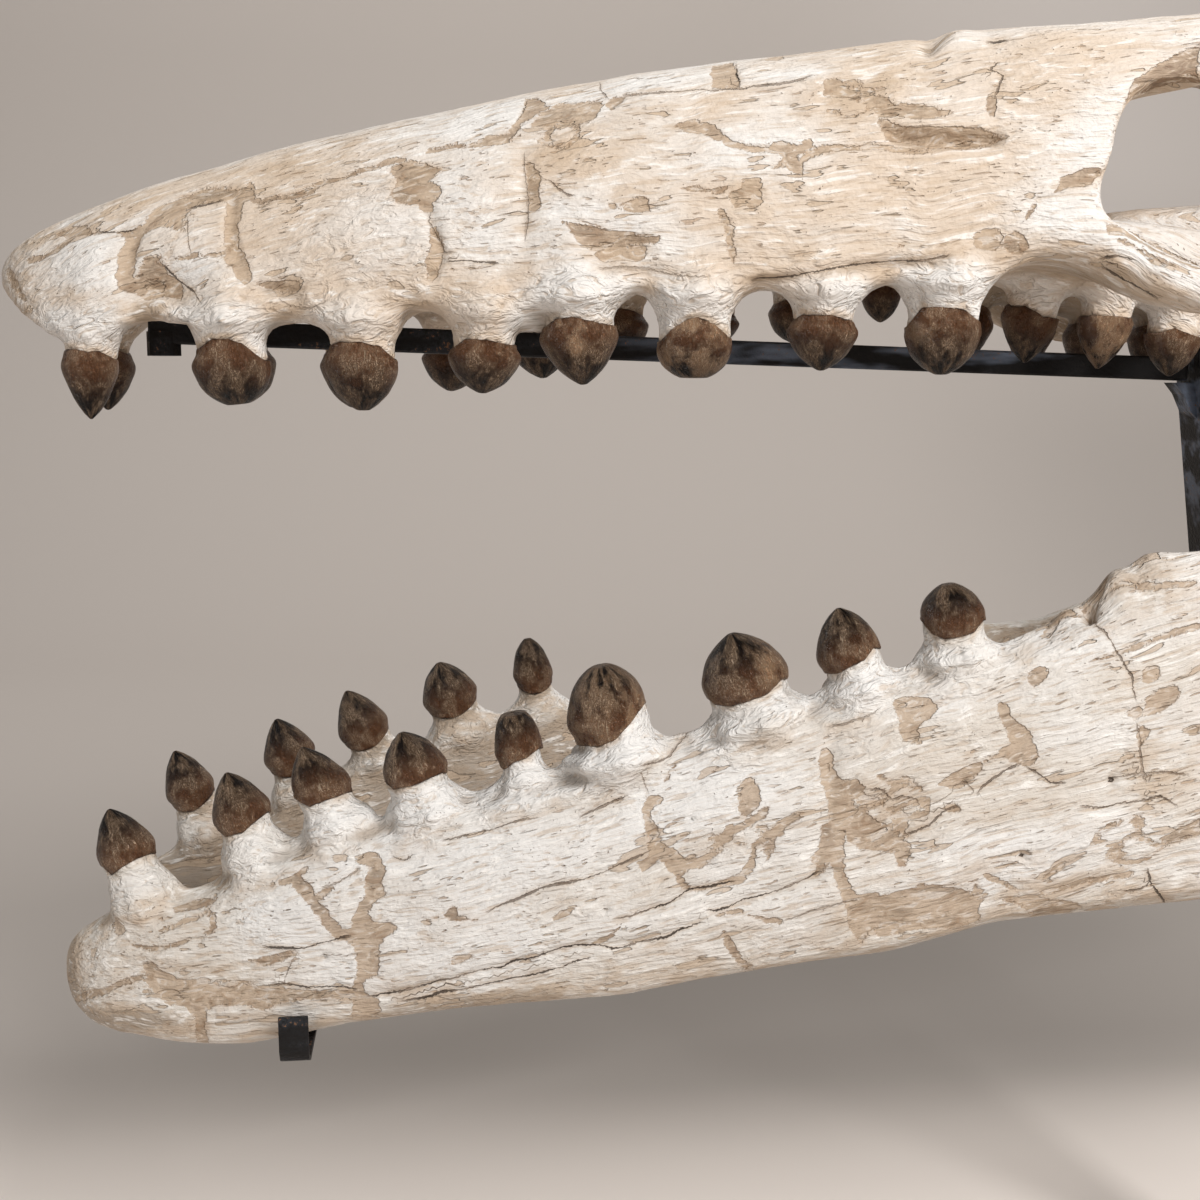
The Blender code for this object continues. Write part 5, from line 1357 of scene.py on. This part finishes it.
def build_crown(crown, material, seed):
    """A crown's detailed skin on the frame's profile: uneven, wrinkled, its edge where the root ends."""
    columns = len(crown.angles)
    angle, height, radius, rise, worn = crown_skin(crown, seed)
    under_radius = np.maximum(radius[:columns] - SHELL, 0.0002)
    under_height = height[:columns] - LOWER
    radius = np.concatenate([0.5 * under_radius, under_radius, radius])
    height = np.concatenate([under_height, under_height, height])
    angle = np.concatenate([crown.angles, crown.angles, angle])
    base, axis = np.array(crown.base), np.array(crown.axis)
    points = base + np.outer(height, axis) + crown.ring(angle) * radius[:, None]
    tip = base + axis * (crown.top + 0.0001)
    foot = base + axis * under_height.mean()
    points = np.vstack([points, tip, foot])
    mesh = bpy.data.meshes.new(crown.node + "_enamel")
    mesh.from_pydata(points.tolist(), [], crown_faces(CROWN_ROWS + 2, columns))
    item = link(crown.node + "_enamel", mesh)

    across, deep = np.cos(angle) * crown.radius, np.sin(angle) * crown.radius
    skin = np.stack([across, height, deep], axis=1) / MM + seed * 3.7
    rise = np.concatenate([np.zeros(2 * columns), rise])
    worn = np.concatenate([np.zeros(2 * columns), worn])
    flat = 0.35 * worn if crown.node in WORN_TIPS else 0 * worn
    tone = np.full(len(points), PALE_CROWNS.get(crown.node, USUAL_TONE))
    if "left" in crown.node:
        sight = Sight(points, points - base)
        for *oval, strength in CROWN_CHIPS:
            tone += strength * sight.blob(*oval)
    give(mesh, "skin", np.vstack([skin, skin[-1], skin[0]]))
    give(mesh, "rise", np.append(rise, [1.0, 0.0]))
    give(mesh, "worn", np.append(flat, [flat.max(), 0.0]))
    give(mesh, "tone", np.clip(tone, 0, 2))
    finish_piece(item, "root", "enamel", material, crown.node)


# Steel

def soft_edged(node, width, material):
    """One of the frame's steel pieces with its edges rounded."""
    work = bmesh.new()
    work.from_mesh(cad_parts[node].data)
    bmesh.ops.remove_doubles(work, verts=work.verts, dist=1e-6)
    bmesh.ops.dissolve_limit(work, angle_limit=radians(1), verts=work.verts, edges=work.edges)
    mesh = bpy.data.meshes.new(node + "_steel")
    work.to_mesh(mesh)
    work.free()
    item = link(node + "_steel", mesh)
    edges = item.modifiers.new("edges", "BEVEL")
    edges.width = width
    edges.segments = 3
    edges.limit_method = "ANGLE"
    edges.angle_limit = radians(35)
    baked(item)
    finish_piece(item, "root", "black_steel", material, node)
    item.data.set_sharp_from_angle(angle=radians(40))


def build_steel(material):
    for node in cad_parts:
        if node.startswith(("jaw_clip", "rear_clip")):
            soft_edged(node, 0.0003, material)
        elif node.startswith(("stand", "palate_bar", "jaw_bar")):
            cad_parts[node].data.materials.clear()
            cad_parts[node].data.materials.append(material)


# Stage

def build_stage():
    """A pale floor that curves up into a backdrop."""
    half_width, front, bend, radius, height = 3.0, -1.6, 1.3, 0.9, 2.6
    steps = 12
    profile = [(front, 0.0), (bend, 0.0)]
    for step in range(1, steps + 1):
        angle = pi / 2 * step / steps
        profile.append((bend + radius * sin(angle), radius * (1 - cos(angle))))
    profile.append((bend + radius, height))
    verts = [(side * half_width, y, z) for y, z in profile for side in (-1, 1)]
    faces = [(2 * i, 2 * i + 1, 2 * i + 3, 2 * i + 2) for i in range(len(profile) - 1)]
    mesh = bpy.data.meshes.new("sweep")
    mesh.from_pydata(verts, [], faces)
    sweep = link("sweep", mesh)
    mesh.shade_smooth()
    mesh.materials.append(stage_material())


def area_light(name, where, target, size, power, tint):
    light = bpy.data.lights.new(name, "AREA")
    light.shape = "RECTANGLE"
    light.size, light.size_y = size
    light.energy = power
    light.color = tint
    item = bpy.data.objects.new(name, light)
    bpy.context.scene.collection.objects.link(item)
    item.location = where
    item.rotation_euler = (Vector(target) - Vector(where)).to_track_quat("-Z", "Y").to_euler()


def build_lights():
    middle = (-0.05, 0.0, 0.35)
    area_light("key", (0.50, -1.15, 1.16), middle, (0.55, 0.55), 25.5, (1.0, 0.985, 0.97))
    area_light("fill", (-1.3, -0.9, 0.8), middle, (1.0, 1.0), 1.2, (0.97, 0.98, 1.0))
    area_light("backdrop", (0.2, 0.9, 2.3), (0.1, 2.0, 0.4), (2.4, 1.0), 23, (1.0, 0.98, 0.95))
    world = bpy.data.worlds.new("studio")
    world.use_nodes = True
    around = world.node_tree.nodes["Background"]
    around.inputs["Color"].default_value = colour(1.0, 0.98, 0.96)
    around.inputs["Strength"].default_value = 0.29
    scene = bpy.context.scene
    scene.world = world
    scene.view_settings.view_transform = "Standard"


def build_camera():
    data = bpy.data.cameras.new("camera")
    data.lens = LENS
    data.sensor_width = SENSOR
    item = bpy.data.objects.new("camera", data)
    bpy.context.scene.collection.objects.link(item)
    item.matrix_world = Matrix.Translation(place(*CAMERA_PLACE)) @ camera_turn().to_4x4()
    bpy.context.scene.camera = item


def build():
    build_camera()
    build_stage()
    build_lights()
    skull_bone = bone_material("skull_bone", colour(0.635, 0.53, 0.43), colour(0.73, 0.70, 0.665),
                               colour(0.50, 0.378, 0.265))
    jaw_bone = bone_material("jaw_bone", colour(0.62, 0.572, 0.515), colour(0.72, 0.70, 0.675),
                             colour(0.48, 0.37, 0.27))
    build_cranium(skull_bone)
    build_jaw("left", LEFT_JAW_VOXEL, 16, LEFT_JAW_MARKS, LEFT_JAW_SEED, jaw_bone)
    build_jaw("right", RIGHT_JAW_VOXEL, 8, RIGHT_JAW_MARKS, RIGHT_JAW_SEED, jaw_bone)
    enamel = enamel_material()
    for number, name in enumerate(sorted(CROWNS)):
        build_crown(CROWNS[name], enamel, 1000 + 37 * number)
    build_steel(steel_material())


build()
